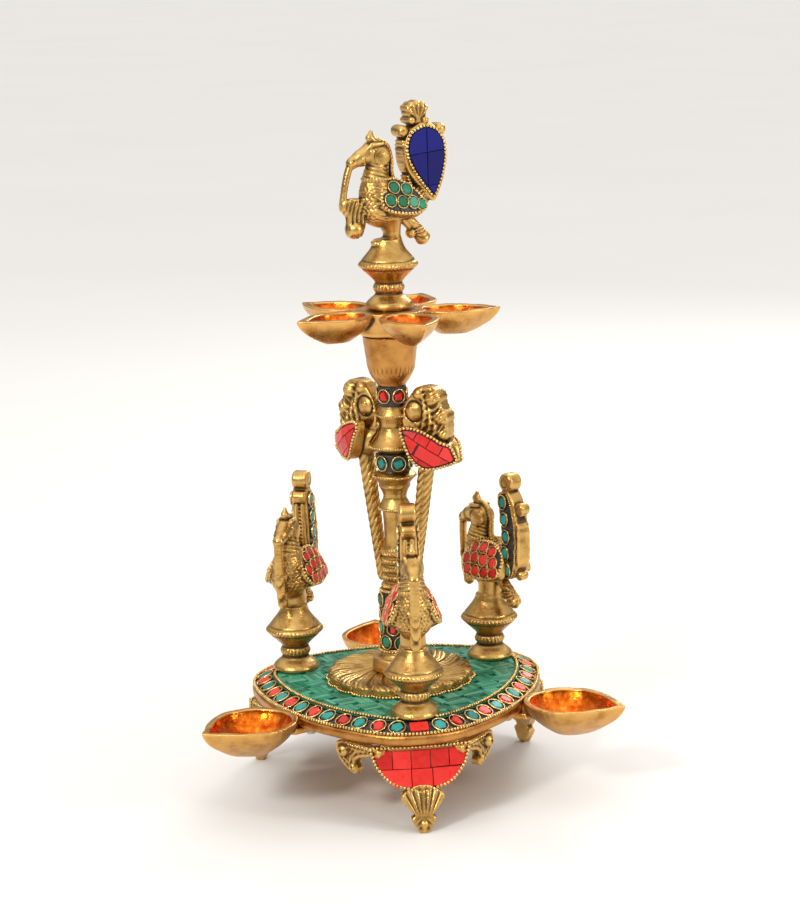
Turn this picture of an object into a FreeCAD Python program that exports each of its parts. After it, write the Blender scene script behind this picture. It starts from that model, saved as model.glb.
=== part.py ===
import FreeCAD, Part

import math
import os

import Sketcher
from FreeCAD import Placement, Rotation, Vector

# A five-wick hanging-tray table lamp of cast brass: a three-footed plate with three oil cups,
# a turned stem on one tie rod, a five-cup tray, and four peacocks that turn on their screws.
# Frame: origin in the middle of the footprint at the table, +Z up, front foot towards -Y.
# Millimetres. Everything is laid out round the stem's axis, and moved to the origin at the end.
# Angles go round +Z from the front (-Y) towards +X.

doc = FreeCAD.newDocument("StandingOilLamp")
sheet = doc.addObject("Spreadsheet::Sheet", "Sizes")

SIZES = {
    # plate
    "PlateUnderside": 44.5,
    "PlateTop": 50.0,
    "PlateSideReach": 71.0,
    "PlateCornerReach": 83.0,
    "PlateCornerArc": 45.0,
    "BorderWidth": 11.5,
    "BorderRise": 4.0,
    "MosaicTop": 54.6,
    "BeadWire": 0.9,
    "StoneCount": 42.0,
    # legs
    "FootReach": 89.4,
    "ShieldTop": 44.2,
    "ShieldBottom": 20.0,
    "ShieldHalfWidth": 25.5,
    "ShieldThick": 4.0,
    "ShieldReach": 76.5,
    "ShieldTilt": 16.0,
    "FanHalfWidth": 11.0,
    "ScrollSize": 8.5,
    # oil cups on the plate
    "DiyaTip": 126.0,
    "DiyaLength": 55.0,
    "DiyaWidth": 45.0,
    "DiyaRim": 52.0,
    "DiyaDepth": 17.0,
    "DiyaWall": 2.6,
    # tie rod and turned stem
    "RodRadius": 4.0,
    "RodClearance": 0.05,
    "LotusRadius": 38.5,
    "LotusTop": 60.0,
    "CollarBottom": 60.5,
    "DrumBottom": 71.0,
    "DrumTop": 105.0,
    "ColumnTop": 147.0,
    "BalusterTop": 214.0,
    "CupTop": 240.0,
    # tray
    "TrayUnderside": 240.1,
    "TrayRim": 253.5,
    "TrayTip": 57.5,
    "PetalWidth": 29.0,
    "PetalCount": 5.0,
    "PetalFirstAngle": 11.3,
    # peacocks
    "BirdCircle": 61.5,
    "BirdSeat": 54.7,
    "FinialSeat": 254.6,
    "BulbHeight": 22.5,
    "BulbRadius": 15.1,
    "BirdHeight": 105.6,
    "ScrewRadius": 2.5,
    "FinialFacing": -70.0,
    "FrontFacing": -3.0,
    "LeftFacing": -25.0,
    "RightFacing": -147.0,
    # brackets
    "BracketRightAngle": 52.0,
    "BracketLeftAngle": -140.0,
    "BracketTop": 215.5,
    "BarFoot": 108.0,
}

for line, (alias, value) in enumerate(SIZES.items(), start=1):
    sheet.set("A%d" % line, alias)
    sheet.set("B%d" % line, "%g" % value)
    sheet.setAlias("B%d" % line, alias)
doc.recompute()


def size(alias):
    return float(sheet.get(alias))


CORNERS = (("front", 0.0), ("right", 120.0), ("left", -120.0))
SIDES = (("right", 60.0), ("left", -60.0), ("back", 180.0))
nodes = []


# ---------------------------------------------------------------- helpers


def out(angle, radius, height=0.0):
    """The point at an angle round the lamp, a radius from the stem's axis and a height."""
    turn = math.radians(angle)
    return Vector(radius * math.sin(turn), -radius * math.cos(turn), height)


def node(name, shape, placement=None):
    """A free-form sub-part whose shape is worked out here from the sheet's sizes."""
    piece = doc.addObject("Part::Feature", name)
    piece.Label = name
    piece.Shape = shape
    if placement is not None:
        piece.Placement = placement
    nodes.append(piece)
    return piece


def facing(angle, centre=Vector(0, 0, 0)):
    """The placement that turns a piece built towards -Y to an angle round +Z."""
    return Placement(centre, Rotation(Vector(0, 0, 1), angle))


def tube(radius, bottom, top, centre=Vector(0, 0, 0)):
    """An upright cylinder from one height to another."""
    return Part.makeCylinder(radius, top - bottom, centre + Vector(0, 0, bottom))


def rod_between(start, end, radius, end_radius=None):
    """A round bar, straight or tapered, between two points."""
    along = end - start
    if end_radius is None or abs(end_radius - radius) < 1e-6:
        return Part.makeCylinder(radius, along.Length, start, along)
    return Part.makeCone(radius, end_radius, along.Length, start, along)


def ball(radius, centre):
    """A round knob with a tiny flat at each pole, as a turned or filed one has."""
    return Part.makeSphere(radius, centre, Vector(0, 0, 1), -84, 84, 360)


def ellipsoid(centre, half_x, half_y, half_z):
    """A ball stretched to three half-lengths."""
    stretch = FreeCAD.Matrix()
    stretch.scale(half_x, half_y, half_z)
    stretched = ball(1.0, Vector(0, 0, 0)).transformGeometry(stretch)
    stretched.translate(centre)
    return stretched


def fused(shapes):
    whole = shapes[0]
    for shape in shapes[1:]:
        whole = whole.fuse(shape)
    return whole.removeSplitter()


def compound(shapes):
    return Part.makeCompound(shapes)


def prism(wire, depth):
    """A flat outline pushed straight along a vector."""
    return Part.Face(wire).extrude(depth)


def between(outer, inner, depth):
    """A ring of material between two outlines in one plane."""
    return Part.Face(outer).extrude(depth).cut(Part.Face(inner).extrude(depth))


def turned(name, outline, bore="RodRadius + RodClearance"):
    """A turned sub-part: a PartDesign body revolved about +Z, every corner bound to the sheet.

    The outline is a list of (radius, height) expressions from the bottom of the outside
    to its top, and the bore closes it on the inside.
    """
    corners = [(bore, outline[0][1])] + list(outline) + [(bore, outline[-1][1])]
    body = doc.addObject("PartDesign::Body", name)
    body.Label = name
    sketch = body.newObject("Sketcher::SketchObject", name + "_profile")
    plane = [o for o in body.Origin.OriginFeatures if o.Role == "XZ_Plane"][0]
    sketch.AttachmentSupport = [(plane, "")]
    sketch.MapMode = "FlatFace"
    points = [Vector(measured(r), measured(h), 0) for r, h in corners]
    count = len(points)
    for i in range(count):
        sketch.addGeometry(Part.LineSegment(points[i], points[(i + 1) % count]))
    for i in range(count):
        sketch.addConstraint(Sketcher.Constraint("Coincident", i, 2, (i + 1) % count, 1))
    for i, (radius, height) in enumerate(corners):
        for kind, text, value in (
            ("DistanceX", radius, points[i].x),
            ("DistanceY", height, points[i].y),
        ):
            at = sketch.addConstraint(Sketcher.Constraint(kind, -1, 1, i, 1, value))
            sketch.setExpression("Constraints[%d]" % at, bound(text))
    turn = body.newObject("PartDesign::Revolution", name + "_turned")
    turn.Profile = sketch
    turn.ReferenceAxis = (sketch, ["V_Axis"])
    turn.Angle = 360.0
    body.Tip = turn
    nodes.append(body)
    return body


def bound(text):
    """A sheet expression written with bare aliases, as FreeCAD's expression engine reads it."""
    words = str(text).split(" ")
    return " ".join("Sizes." + w if w in SIZES else w for w in words)


def measured(text):
    """The same expression's value now, for the sketch's starting geometry."""
    words = [str(SIZES[w]) if w in SIZES else w for w in str(text).split(" ")]
    total = float(words[0])
    for sign, word in zip(words[1::2], words[2::2]):
        total += float(word) if sign == "+" else -float(word)
    return total


def plate_outline(inset, height):
    """The plate's rounded triangle: three long side arcs and three corner arcs, all tangent."""
    corner = size("PlateCornerArc")
    shift = size("PlateCornerReach") - corner
    gap = size("PlateSideReach") - corner
    side_shift = (shift**2 - gap**2) / (2 * gap - shift)
    side = size("PlateSideReach") + side_shift
    arcs = []
    for _, angle in CORNERS:
        centre = out(angle, shift, height)
        before = centre - out(angle + 120.0, side_shift, height) + Vector(0, 0, height)
        after = centre - out(angle - 120.0, side_shift, height) + Vector(0, 0, height)
        ends = []
        for lean in (before, after):
            lean.z = 0
            ends.append(centre + lean.normalize() * (corner - inset))
        middle = out(angle, shift + corner - inset, height)
        arcs.append((angle, ends, middle))
    edges = []
    for i, (angle, ends, middle) in enumerate(arcs):
        edges.append(Part.Arc(ends[0], middle, ends[1]).toShape())
        following = arcs[(i + 1) % 3]
        half = out(angle + 60.0, side - side_shift - inset, height)
        start = min(ends, key=lambda p: (p - half).Length)
        end = min(following[1], key=lambda p: (p - half).Length)
        edges.append(Part.Arc(start, half, end).toShape())
    return Part.Wire(Part.__sortEdges__(edges))


def almond(tip, length, width, height, scale=1.0):
    """An oil cup's outline towards -Y: a round end near the lamp and a pointed lip at the tip."""
    middle = tip - length * 0.56
    reach = length * 0.56 * scale
    back = length * 0.44 * scale
    half = width / 2.0 * scale
    lip = Vector(0, -(middle + reach), height)
    right = Vector(half, -(middle + 0.06 * reach), height)
    left = Vector(-half, -(middle + 0.06 * reach), height)
    bow_right = Vector(half * 0.66, -(middle + 0.62 * reach), height)
    bow_left = Vector(-half * 0.66, -(middle + 0.62 * reach), height)
    heel = Vector(0, -(middle - back), height)
    return Part.Wire(
        [
            Part.Arc(lip, bow_right, right).toShape(),
            Part.Arc(right, heel, left).toShape(),
            Part.Arc(left, bow_left, lip).toShape(),
        ]
    )


def boat(tip, length, width, rim, depth, inset):
    """A cup's solid, from a small sole up to the full outline at the rim."""
    levels = ((0.0, 0.22), (0.14, 0.47), (0.42, 0.74), (0.74, 0.91), (1.0, 1.0))
    wires = []
    for share, scale in levels:
        height = rim - depth + depth * share
        wires.append(almond(tip - inset, length - 2 * inset, width - 2 * inset, height, scale))
    return Part.makeLoft(wires, True, True)


# ---------------------------------------------------------------- plate and border


def plate_group():
    underside, top = size("PlateUnderside"), size("PlateTop")
    mosaic_top = size("MosaicTop")
    wide, rise = size("BorderWidth"), size("BorderRise")
    wire = size("BeadWire")
    rod = size("RodRadius") + size("RodClearance")
    screw = size("ScrewRadius")
    screw_points = [out(a, size("BirdCircle")) for _, a in CORNERS]
    seat_radius = 4.5

    slab = prism(plate_outline(0.0, underside), Vector(0, 0, top - underside))
    holes = [tube(rod, 0, 100)] + [tube(screw, 0, 100, p) for p in screw_points]
    bosses = [tube(seat_radius, top - 1, mosaic_top, p) for p in screw_points]
    node("base_plate", fused([slab] + bosses).cut(compound(holes)))

    ledge = 2.2
    lac_outer = plate_outline(ledge, top)
    lac_inner = plate_outline(wide, top + rise)
    lac_inner_low = plate_outline(wide, top)
    wedge = Part.makeLoft([lac_outer, lac_inner], True, True)
    bosses_gap = compound([tube(seat_radius, 0, 100, p) for p in screw_points])
    core = prism(lac_inner_low, Vector(0, 0, rise))
    border = wedge.cut(core)
    node("border_lac", border.cut(bosses_gap))

    lotus_seat = tube(size("LotusRadius") + 1.0, 0, 100)
    field = prism(plate_outline(wide, top), Vector(0, 0, mosaic_top - top))
    node("green_mosaic", field.cut(compound([lotus_seat, bosses_gap])))

    # Two beaded wires edge the border. The birds' feet interrupt the inner one.
    feet = compound([tube(12.9, 0, 100, p) for p in screw_points])
    for name, inset, height in (
        ("outer_bead_wire", ledge / 2, top + wire),
        ("inner_bead_wire", wide + wire, mosaic_top + wire),
    ):
        path = plate_outline(inset, height)
        start = path.Edges[0].valueAt(path.Edges[0].FirstParameter)
        along = path.Edges[0].tangentAt(path.Edges[0].FirstParameter)
        circle = Part.Wire(Part.makeCircle(wire, start, along))
        node(name, path.makePipeShell([circle], True, False).cut(feet))

    # Stones sit in the sloping lac, each in a flat oval ring of wire, long way round radial.
    count = int(size("StoneCount"))
    middle = plate_outline((wide + ledge) / 2, top)
    slope = math.degrees(math.atan2(rise, wide - ledge))
    red, blue, rings = [], [], []
    for i in range(count):
        point = middle.discretize(count + 1)[i]
        angle = math.degrees(math.atan2(point.x, -point.y))
        lean = Rotation(Vector(0, 0, 1), angle).multiply(Rotation(Vector(1, 0, 0), slope))
        lift = rise * 0.5 + 0.45
        at = Placement(Vector(point.x, point.y, top + lift), lean)
        chip = Part.makeBox(4.2, 5.2, 0.9, Vector(-2.1, -2.6, 0))
        ring = Part.makeCylinder(4.1, 0.7)
        ring = ring.cut(Part.makeCylinder(3.45, 0.7))
        chip.Placement = at
        ring.Placement = at
        (red if i % 2 == 0 else blue).append(chip)
        rings.append(ring)
    node("border_stones_red", compound(red))
    node("border_stones_turquoise", compound(blue))
    node("border_rings", compound(rings))


# ---------------------------------------------------------------- legs


def shield_wire(half, top, bottom, inset, depth):
    """The apron shield in its own upright plane: a straight top and two sides bowed to a point."""
    left = Vector(-half + inset, depth, top - inset)
    right = Vector(half - inset, depth, top - inset)
    point = Vector(0, depth, bottom + inset * 0.6)
    drop = top - bottom
    bow = half * 0.74 - inset
    low = top - drop * 0.56
    return Part.Wire(
        [
            Part.LineSegment(left, right).toShape(),
            Part.Arc(right, Vector(bow, depth, low), point).toShape(),
            Part.Arc(point, Vector(-bow, depth, low), left).toShape(),
        ]
    )


def leg_shapes():
    """One foot casting towards -Y, with the tiles and bead border laid on its shield."""
    top, bottom = size("ShieldTop"), size("ShieldBottom")
    half, thick = size("ShieldHalfWidth"), size("ShieldThick")
    reach, tilt = size("ShieldReach"), size("ShieldTilt")
    scroll = size("ScrollSize")
    side = size("PlateSideReach")
    pivot = Vector(0, -reach, top)

    def tilted(shape):
        """Leans a piece built in the plane y = 0 out of the upright, about the shield's top edge."""
        shape.translate(Vector(0, -reach, 0))
        shape.rotate(pivot, Vector(1, 0, 0), -tilt)
        return shape

    shield = tilted(prism(shield_wire(half, top - 1.2, bottom, 0.0, 0.0), Vector(0, thick, 0)))
    lug_low = size("PlateUnderside") - 5.0
    lug = Part.makeBox(30, 10, 5.0, Vector(-15, -reach + 0.2, lug_low))

    # The ribbed fan foot spreads below the shield and draws in to a small flat toe.
    toe = size("FootReach")
    fan = size("FanHalfWidth")
    neck_y = -(toe - 5.5)
    sections = (
        (neck_y + 2.4, bottom + 3.0, 5.0, 2.0),
        (neck_y, bottom * 0.62, fan, 2.4),
        (-(toe - 2.6), bottom * 0.28, fan * 0.5, 2.4),
        (-(toe - 2.2), 0.0, 2.2, 2.2),
    )
    wires = []
    for y, z, wide, deep in sections:
        wires.append(
            Part.makePolygon(
                [
                    Vector(-wide, y - deep, z),
                    Vector(wide, y - deep, z),
                    Vector(wide, y + deep, z),
                    Vector(-wide, y + deep, z),
                    Vector(-wide, y - deep, z),
                ]
            )
        )
    foot = Part.makeLoft(wires, True, True)

    # A scroll hangs under the rim on each side, joined to the shield by a strap.
    pieces = [shield, lug, foot]
    for hand in (-1, 1):
        eye_angle = hand * 33.0
        eye = out(eye_angle, side - 1.0, top - 9.0)
        normal = out(eye_angle, 1.0)
        scroll_disc = Part.makeCylinder(scroll, 5.0, eye - normal * 2.5, normal)
        hang = Part.makeCylinder(4.0, 8.0, out(eye_angle, side - 3.0, top - 8.0))
        inner = Vector(hand * (half - 6.0), -(reach - 2.5), top - 6.0)
        strap = rod_between(inner, out(eye_angle, side - 1.0, top - 6.5), 3.2)
        pieces += [scroll_disc, hang, strap]
    ceiling = Part.makeBox(400, 400, 60, Vector(-200, -200, size("PlateUnderside")))
    casting = fused(pieces).cut(ceiling)

    # Eight coral tiles: five along the top and three below, with hairline joints.
    border, joint, lift = 2.2, 0.35, 1.3
    split = top - 1.2 - (top - bottom) * 0.46
    field = prism(shield_wire(half, top - 1.2, bottom, border, -lift), Vector(0, lift, 0))
    tiles = []
    rows = ((split + joint / 2, top, (-14.6, -5.2, 4.6, 14.2)), (0.0, split - joint / 2, (-5.0, 5.4)))
    for low, high, cuts in rows:
        edges = (-40.0,) + cuts + (40.0,)
        for start, end in zip(edges[:-1], edges[1:]):
            cell = Part.makeBox(
                end - start - joint, 4.0, high - low, Vector(start + joint / 2, -2.0, low)
            )
            tiles += field.common(cell).Solids
    tiles = [tilted(t) for t in tiles]
    beads = between(
        shield_wire(half, top - 1.2, bottom, 0.3, -1.2),
        shield_wire(half, top - 1.2, bottom, 1.7, -1.2),
        Vector(0, 1.2, 0),
    )
    beads = tilted(beads)
    return casting.cut(compound(tiles + [beads])), compound(tiles), beads


def leg_group():
    beads_all, screws = [], []
    underside = size("PlateUnderside")
    for name, angle in CORNERS:
        casting, tiles, beads = leg_shapes()
        node("leg_" + name, casting, facing(angle))
        node("leg_tiles_" + name, tiles, facing(angle))
        beads.Placement = facing(angle).multiply(beads.Placement)
        beads_all.append(beads)
        for side in (-9.0, 9.0):
            head = Part.makeCylinder(2.6, 2.0, Vector(side, -70.0, underside - 7.0))
            head.Placement = facing(angle).multiply(head.Placement)
            screws.append(head)
    node("leg_beads", compound(beads_all))
    node("leg_screws", compound(screws))


# ---------------------------------------------------------------- oil cups on the plate


def diya_group():
    tip, length, width = size("DiyaTip"), size("DiyaLength"), size("DiyaWidth")
    rim, depth, wall = size("DiyaRim"), size("DiyaDepth"), size("DiyaWall")
    underside = size("PlateUnderside")
    side = size("PlateSideReach")
    screws = []
    for name, angle in SIDES:
        shell = boat(tip, length, width, rim, depth, 0.0)
        hollow = boat(tip, length, width, rim + 0.01, depth - wall, wall)
        lug = Part.makeBox(16.0, tip - length + 3.0 - (side - 14.0), 3.4)
        lug.translate(Vector(-8.0, -(tip - length + 3.0), underside - 3.4))
        neck = Part.makeBox(12.0, 6.0, 8.5, Vector(-6.0, -(side + 6.4), underside - 3.4))
        shape = fused([shell, lug, neck]).cut(hollow)
        node("diya_" + name, shape, facing(angle))
        for hand in (-4.5, 4.5):
            head = Part.makeCylinder(2.4, 1.8, Vector(hand, -(side - 9.0), underside - 5.2))
            head.Placement = facing(angle).multiply(head.Placement)
            screws.append(head)
    node("diya_screws", compound(screws))


# ---------------------------------------------------------------- stem


def scalloped_lotus():
    """A low flower plate with sixteen lobes, hollow round the rod."""
    radius, top, seat = size("LotusRadius"), size("LotusTop"), size("PlateTop")
    lobes = 16
    lobe_radius = radius * math.sin(math.pi / lobes) * 1.15
    pieces = [tube(radius - lobe_radius * 0.7, seat, top)]
    for i in range(lobes):
        centre = out(360.0 * i / lobes, radius - lobe_radius)
        pieces.append(tube(lobe_radius, seat, top, centre))
    boss = tube(15.5, seat, size("CollarBottom"))
    bore = tube(size("RodRadius") + size("RodClearance"), 0, 100)
    return fused(pieces + [boss]).cut(bore)


def stem_group():
    node("lotus_plate", scalloped_lotus())
    turned(
        "stem_foot",
        [
            ("14.6", "CollarBottom"),
            ("14.6", "CollarBottom + 7"),
            ("12.6", "CollarBottom + 8"),
            ("10.6", "CollarBottom + 9.5"),
            ("10.6", "DrumBottom"),
        ],
    )
    turned(
        "stem_drum",
        [
            ("10.4", "DrumBottom"),
            ("10.4", "DrumBottom + 1.8"),
            ("8.2", "DrumBottom + 1.8"),
            ("8.2", "DrumTop - 1.8"),
            ("9.0", "DrumTop - 1.8"),
            ("9.0", "DrumTop"),
        ],
    )
    turned(
        "stem_column",
        [
            ("7.6", "DrumTop"),
            ("8.2", "DrumTop + 2"),
            ("7.4", "DrumTop + 5"),
            ("8.2", "DrumTop + 8"),
            ("7.4", "DrumTop + 11"),
            ("8.2", "DrumTop + 14"),
            ("7.4", "DrumTop + 17"),
            ("8.2", "DrumTop + 20"),
            ("7.0", "DrumTop + 22.5"),
            ("6.3", "DrumTop + 25"),
            ("6.8", "ColumnTop"),
        ],
    )
    turned(
        "stem_baluster",
        [
            ("8.0", "ColumnTop"),
            ("8.9", "ColumnTop + 1.5"),
            ("6.1", "ColumnTop + 7.5"),
            ("8.3", "ColumnTop + 13.5"),
            ("8.3", "ColumnTop + 15"),
            ("11.3", "ColumnTop + 18"),
            ("11.3", "ColumnTop + 20"),
            ("8.0", "ColumnTop + 21.5"),
            ("8.0", "ColumnTop + 31"),
            ("12.8", "ColumnTop + 34.0"),
            ("12.8", "ColumnTop + 35.6"),
            ("7.0", "ColumnTop + 45.6"),
            ("9.1", "ColumnTop + 50.8"),
            ("9.1", "ColumnTop + 52.0"),
            ("6.6", "ColumnTop + 55.8"),
            ("6.6", "BalusterTop"),
        ],
    )
    turned(
        "tray_cup",
        [
            ("7.6", "BalusterTop"),
            ("9.4", "BalusterTop + 3.3"),
            ("10.8", "BalusterTop + 5.7"),
            ("12.2", "BalusterTop + 8.6"),
            ("13.0", "BalusterTop + 13.5"),
            ("14.3", "BalusterTop + 21.7"),
            ("14.6", "CupTop"),
        ],
    )
    column_top, baluster_top = size("ColumnTop"), size("BalusterTop")
    drum_low, drum_high = size("DrumBottom") + 1.9, size("DrumTop") - 1.9
    bands = (
        (8.2, 9.3, drum_low, drum_high),
        (8.0, 8.7, column_top + 21.8, column_top + 30.8),
        (6.6, 7.4, column_top + 56.0, baluster_top - 0.4),
    )
    sleeves = [tube(o, low, high).cut(tube(i, low, high)) for i, o, low, high in bands]
    node("stem_lac", compound(sleeves))

    def studs(inner, outer, height, count, radius, offset, keep=lambda i: True):
        """Round stones seated on a band, each standing a little proud of the lac."""
        shell = tube(outer, height - 6, height + 6).cut(tube(inner, height - 6, height + 6))
        found = []
        for i in range(count):
            if keep(i):
                spoke = out(offset + 360.0 * i / count, 1.0)
                peg = Part.makeCylinder(radius, 30, Vector(0, 0, height), spoke)
                found += peg.common(shell).Solids
        return found

    rows = 4
    pitch = (drum_high - drum_low) / rows
    green, coral = [], []
    for row in range(rows):
        height = drum_low + pitch * (row + 0.5)
        shift = 26.0 * (row % 2)
        green += studs(9.3, 10.3, height, 7, 2.9, shift, lambda i: (i + row) % 4 != 3)
        coral += studs(9.3, 10.1, height, 7, 2.5, shift, lambda i: (i + row) % 4 == 3)
    node("drum_stones_green", compound(green))
    node("drum_stones_red", compound(coral))
    node("band_stones_turquoise", compound(studs(8.7, 9.5, column_top + 26.3, 6, 2.9, 8.0)))
    node("band_stones_red", compound(studs(7.4, 8.2, baluster_top - 5.4, 6, 2.7, 20.0)))


def rod_group():
    """The tie rod, its nut and washer below the plate, and the washer under the finial."""
    turned("tie_rod", [("RodRadius", "PlateUnderside - 12"), ("RodRadius", "FinialSeat + 18")], "0")
    turned(
        "base_washer",
        [("11.0", "PlateUnderside - 1.6"), ("11.0", "PlateUnderside")],
    )
    hexagon = Part.Wire(
        Part.makePolygon([out(60.0 * i, 7.5, size("PlateUnderside") - 8.2) for i in range(7)])
    )
    nut = prism(hexagon, Vector(0, 0, 6.5)).cut(tube(size("RodRadius") + 0.05, 0, 100))
    node("base_nut", nut)
    turned(
        "finial_washer",
        [("8.5", "FinialSeat - 0.9"), ("8.5", "FinialSeat - 0.1")],
    )


# ---------------------------------------------------------------- tray


def tray_shape():
    """Five almond cups round a flat hub."""
    tip, width = size("TrayTip"), size("PetalWidth")
    rim, low = size("TrayRim"), size("TrayUnderside")
    count = int(size("PetalCount"))
    length, wall = 44.0, 2.4
    depth = rim - low
    solids, hollows = [tube(17.0, low, rim)], []
    for i in range(count):
        turn = facing(size("PetalFirstAngle") + 360.0 * i / count)
        shell = boat(tip, length, width, rim, depth, 0.0)
        hollow = boat(tip, length - 3.5, width, rim + 0.01, depth - wall, wall)
        shell.Placement = turn
        hollow.Placement = turn
        solids.append(shell)
        hollows.append(hollow)
    bore = tube(size("RodRadius") + 0.1, low - 5, rim + 5)
    return fused(solids).cut(compound(hollows)).cut(bore)


# ---------------------------------------------------------------- peacocks


def teardrop(centre_u, low, high, half, inset, side_x):
    """The tail's flank outline in the plane x = side_x: round above, drawn to a point below."""
    middle = low + (high - low) * 0.62
    half -= inset
    high -= inset
    low += inset * 1.6
    top = Vector(side_x, -centre_u, high)
    fore = Vector(side_x, -(centre_u + half), middle)
    aft = Vector(side_x, -(centre_u - half), middle)
    point = Vector(side_x, -(centre_u - 3.0), low)
    drop = middle - low
    bow_fore = Vector(side_x, -(centre_u + half * 0.62 - 1.0), low + drop * 0.45)
    bow_aft = Vector(side_x, -(centre_u - half * 0.80 - 0.6), low + drop * 0.45)
    return Part.Wire(
        [
            Part.Arc(fore, top, aft).toShape(),
            Part.Arc(aft, bow_aft, point).toShape(),
            Part.Arc(point, bow_fore, fore).toShape(),
        ]
    )


def oval(centre_u, centre_z, half_u, half_z, side_x, thick):
    """A flat oval disc on a flank, its faces across X."""
    disc = Part.makeCylinder(1.0, thick, Vector(0, 0, 0), Vector(1, 0, 0))
    stretch = FreeCAD.Matrix()
    stretch.scale(1.0, half_u, half_z)
    disc = disc.transformGeometry(stretch)
    disc.translate(Vector(side_x, -centre_u, centre_z))
    return disc


TAIL = {"centre_u": -20.4, "low": 53.5, "high": 93.0, "half": 12.4}
TAIL_HALF_THICK = 5.5
BLADE_HALF_THICK = 4.4
WING_U, WING_Z, WING_OUT = -5.0, 57.0, 9.8
WING_HALF_U, WING_HALF_Z = 13.6, 10.4
WING_LEAN = 26.0


def on_wing(shape, hand):
    """Sets a shape built flat on the plane x = 0 on a wing, whose foot leans outwards."""
    lean = Placement(Vector(WING_OUT, -WING_U, WING_Z), Rotation(Vector(0, 1, 0), -WING_LEAN))
    placed = shape.copy()
    placed.Placement = lean.multiply(placed.Placement)
    if hand < 0:
        placed = placed.mirror(Vector(0, 0, 0), Vector(1, 0, 0))
    return placed


def at(u, z, x=0.0):
    """A point of a bird from how far forward it is, its height and its side."""
    return Vector(x, -u, z)


def roll(u, z, radius, half):
    """A rolled scroll lying across a bird."""
    return rod_between(at(u, z, -half), at(u, z, half), radius)


def peacock():
    """A peacock without its tail, on its baluster pedestal, facing -Y, z up from its foot."""
    bulb, bulb_radius = size("BulbHeight"), size("BulbRadius")
    profile = [
        (0.0, 0.0),
        (12.2, 0.0),
        (12.4, 1.5),
        (11.0, 4.0),
        (7.2, 8.4),
        (7.2, 13.6),
        (8.4, 15.2),
        (bulb_radius, bulb - 1.0),
        (bulb_radius, bulb + 1.0),
        (11.6, bulb + 6.0),
        (7.4, bulb + 12.0),
        (0.0, bulb + 12.0),
    ]
    points = [Vector(r, 0, z) for r, z in profile]
    half = Part.Face(Part.makePolygon(points + [points[0]]))
    pedestal = half.revolve(Vector(0, 0, 0), Vector(0, 0, 1), 360)
    leg = rod_between(at(-1.0, bulb + 11.0), at(-1.0, 46.0), 6.8, 5.8)
    body = ellipsoid(at(-2.0, 54.0), 10.6, 19.0, 10.6)
    breast = rod_between(at(4.6, 44.5), at(6.4, 65.0), 10.0, 6.6)
    neck = rod_between(at(6.6, 62.0), at(4.4, 77.0), 7.2, 5.8)
    head = ball(6.3, at(5.2, 78.6))
    beak = rod_between(at(7.0, 78.6), at(20.4, 74.6), 4.8, 2.3)
    crest = rod_between(at(6.5, 82.0), at(8.4, 89.6), 2.6, 1.0)
    strap = rod_between(at(19.8, 75.0), at(24.8, 55.0), 1.9)
    strap_end = rod_between(at(24.8, 55.0), at(19.0, 41.0), 1.9, 3.0)
    knuckle = ball(2.0, at(24.8, 55.0))
    curl = ball(4.4, at(18.4, 41.4))
    bridge = rod_between(at(22.0, 53.0), at(8.0, 52.0), 3.0)
    bell = rod_between(at(-10.5, 48.0), at(-20.6, 33.6), 2.6, 4.0)
    knob = rod_between(at(-8.5, 46.0), at(-13.6, 37.0), 2.2, 3.0)
    pads = [on_wing(oval(0, 0, WING_HALF_U, WING_HALF_Z, -9.0, 9.0), hand) for hand in (-1, 1)]
    trunk = fused([pedestal, leg, body, breast, neck, head, beak, crest])
    return fused([trunk, strap, knuckle, strap_end, curl, bridge, bell, knob] + pads)


def broad_tail():
    """The finial's tail: a wide upright fan for the lapis, with a shell knob on top."""
    wire = teardrop(inset=0.0, side_x=-TAIL_HALF_THICK, **TAIL)
    fan = prism(wire, Vector(2 * TAIL_HALF_THICK, 0, 0))
    root = rod_between(at(-12.0, 55.0), at(-22.0, 62.0), 4.5)
    shell = ball(5.6, at(-18.4, size("BirdHeight") - 5.6))
    stalk = rod_between(at(-19.0, 90.0), at(-18.4, 98.0), 4.2)
    lobes = [ball(3.6, at(u, 89.6)) for u in (-9.6, -30.0)]
    return [fan, root, shell, stalk] + lobes


def blade_tail():
    """A small bird's tail: a narrow upright blade that ends in rolled scrolls."""
    edge = [
        (-17.0, 50.0),
        (-15.8, 60.0),
        (-16.0, 72.0),
        (-14.4, 84.0),
        (-14.8, 93.0),
        (-19.0, 97.0),
        (-23.6, 93.0),
        (-27.0, 84.0),
        (-29.4, 72.0),
        (-28.8, 60.0),
        (-26.0, 51.0),
        (-21.5, 47.6),
    ]
    curve = Part.BSplineCurve()
    curve.interpolate([at(u, z, -BLADE_HALF_THICK) for u, z in edge], PeriodicFlag=True)
    blade = prism(Part.Wire([curve.toShape()]), Vector(2 * BLADE_HALF_THICK, 0, 0))
    root = rod_between(at(-10.0, 54.0), at(-22.0, 57.0), 4.2)
    top = roll(-19.4, size("BirdHeight") - 5.2, 5.2, 4.2)
    return [blade, root, top, roll(-15.4, 91.5, 3.2, 3.8), roll(-28.6, 87.0, 3.2, 3.4)]


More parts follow.
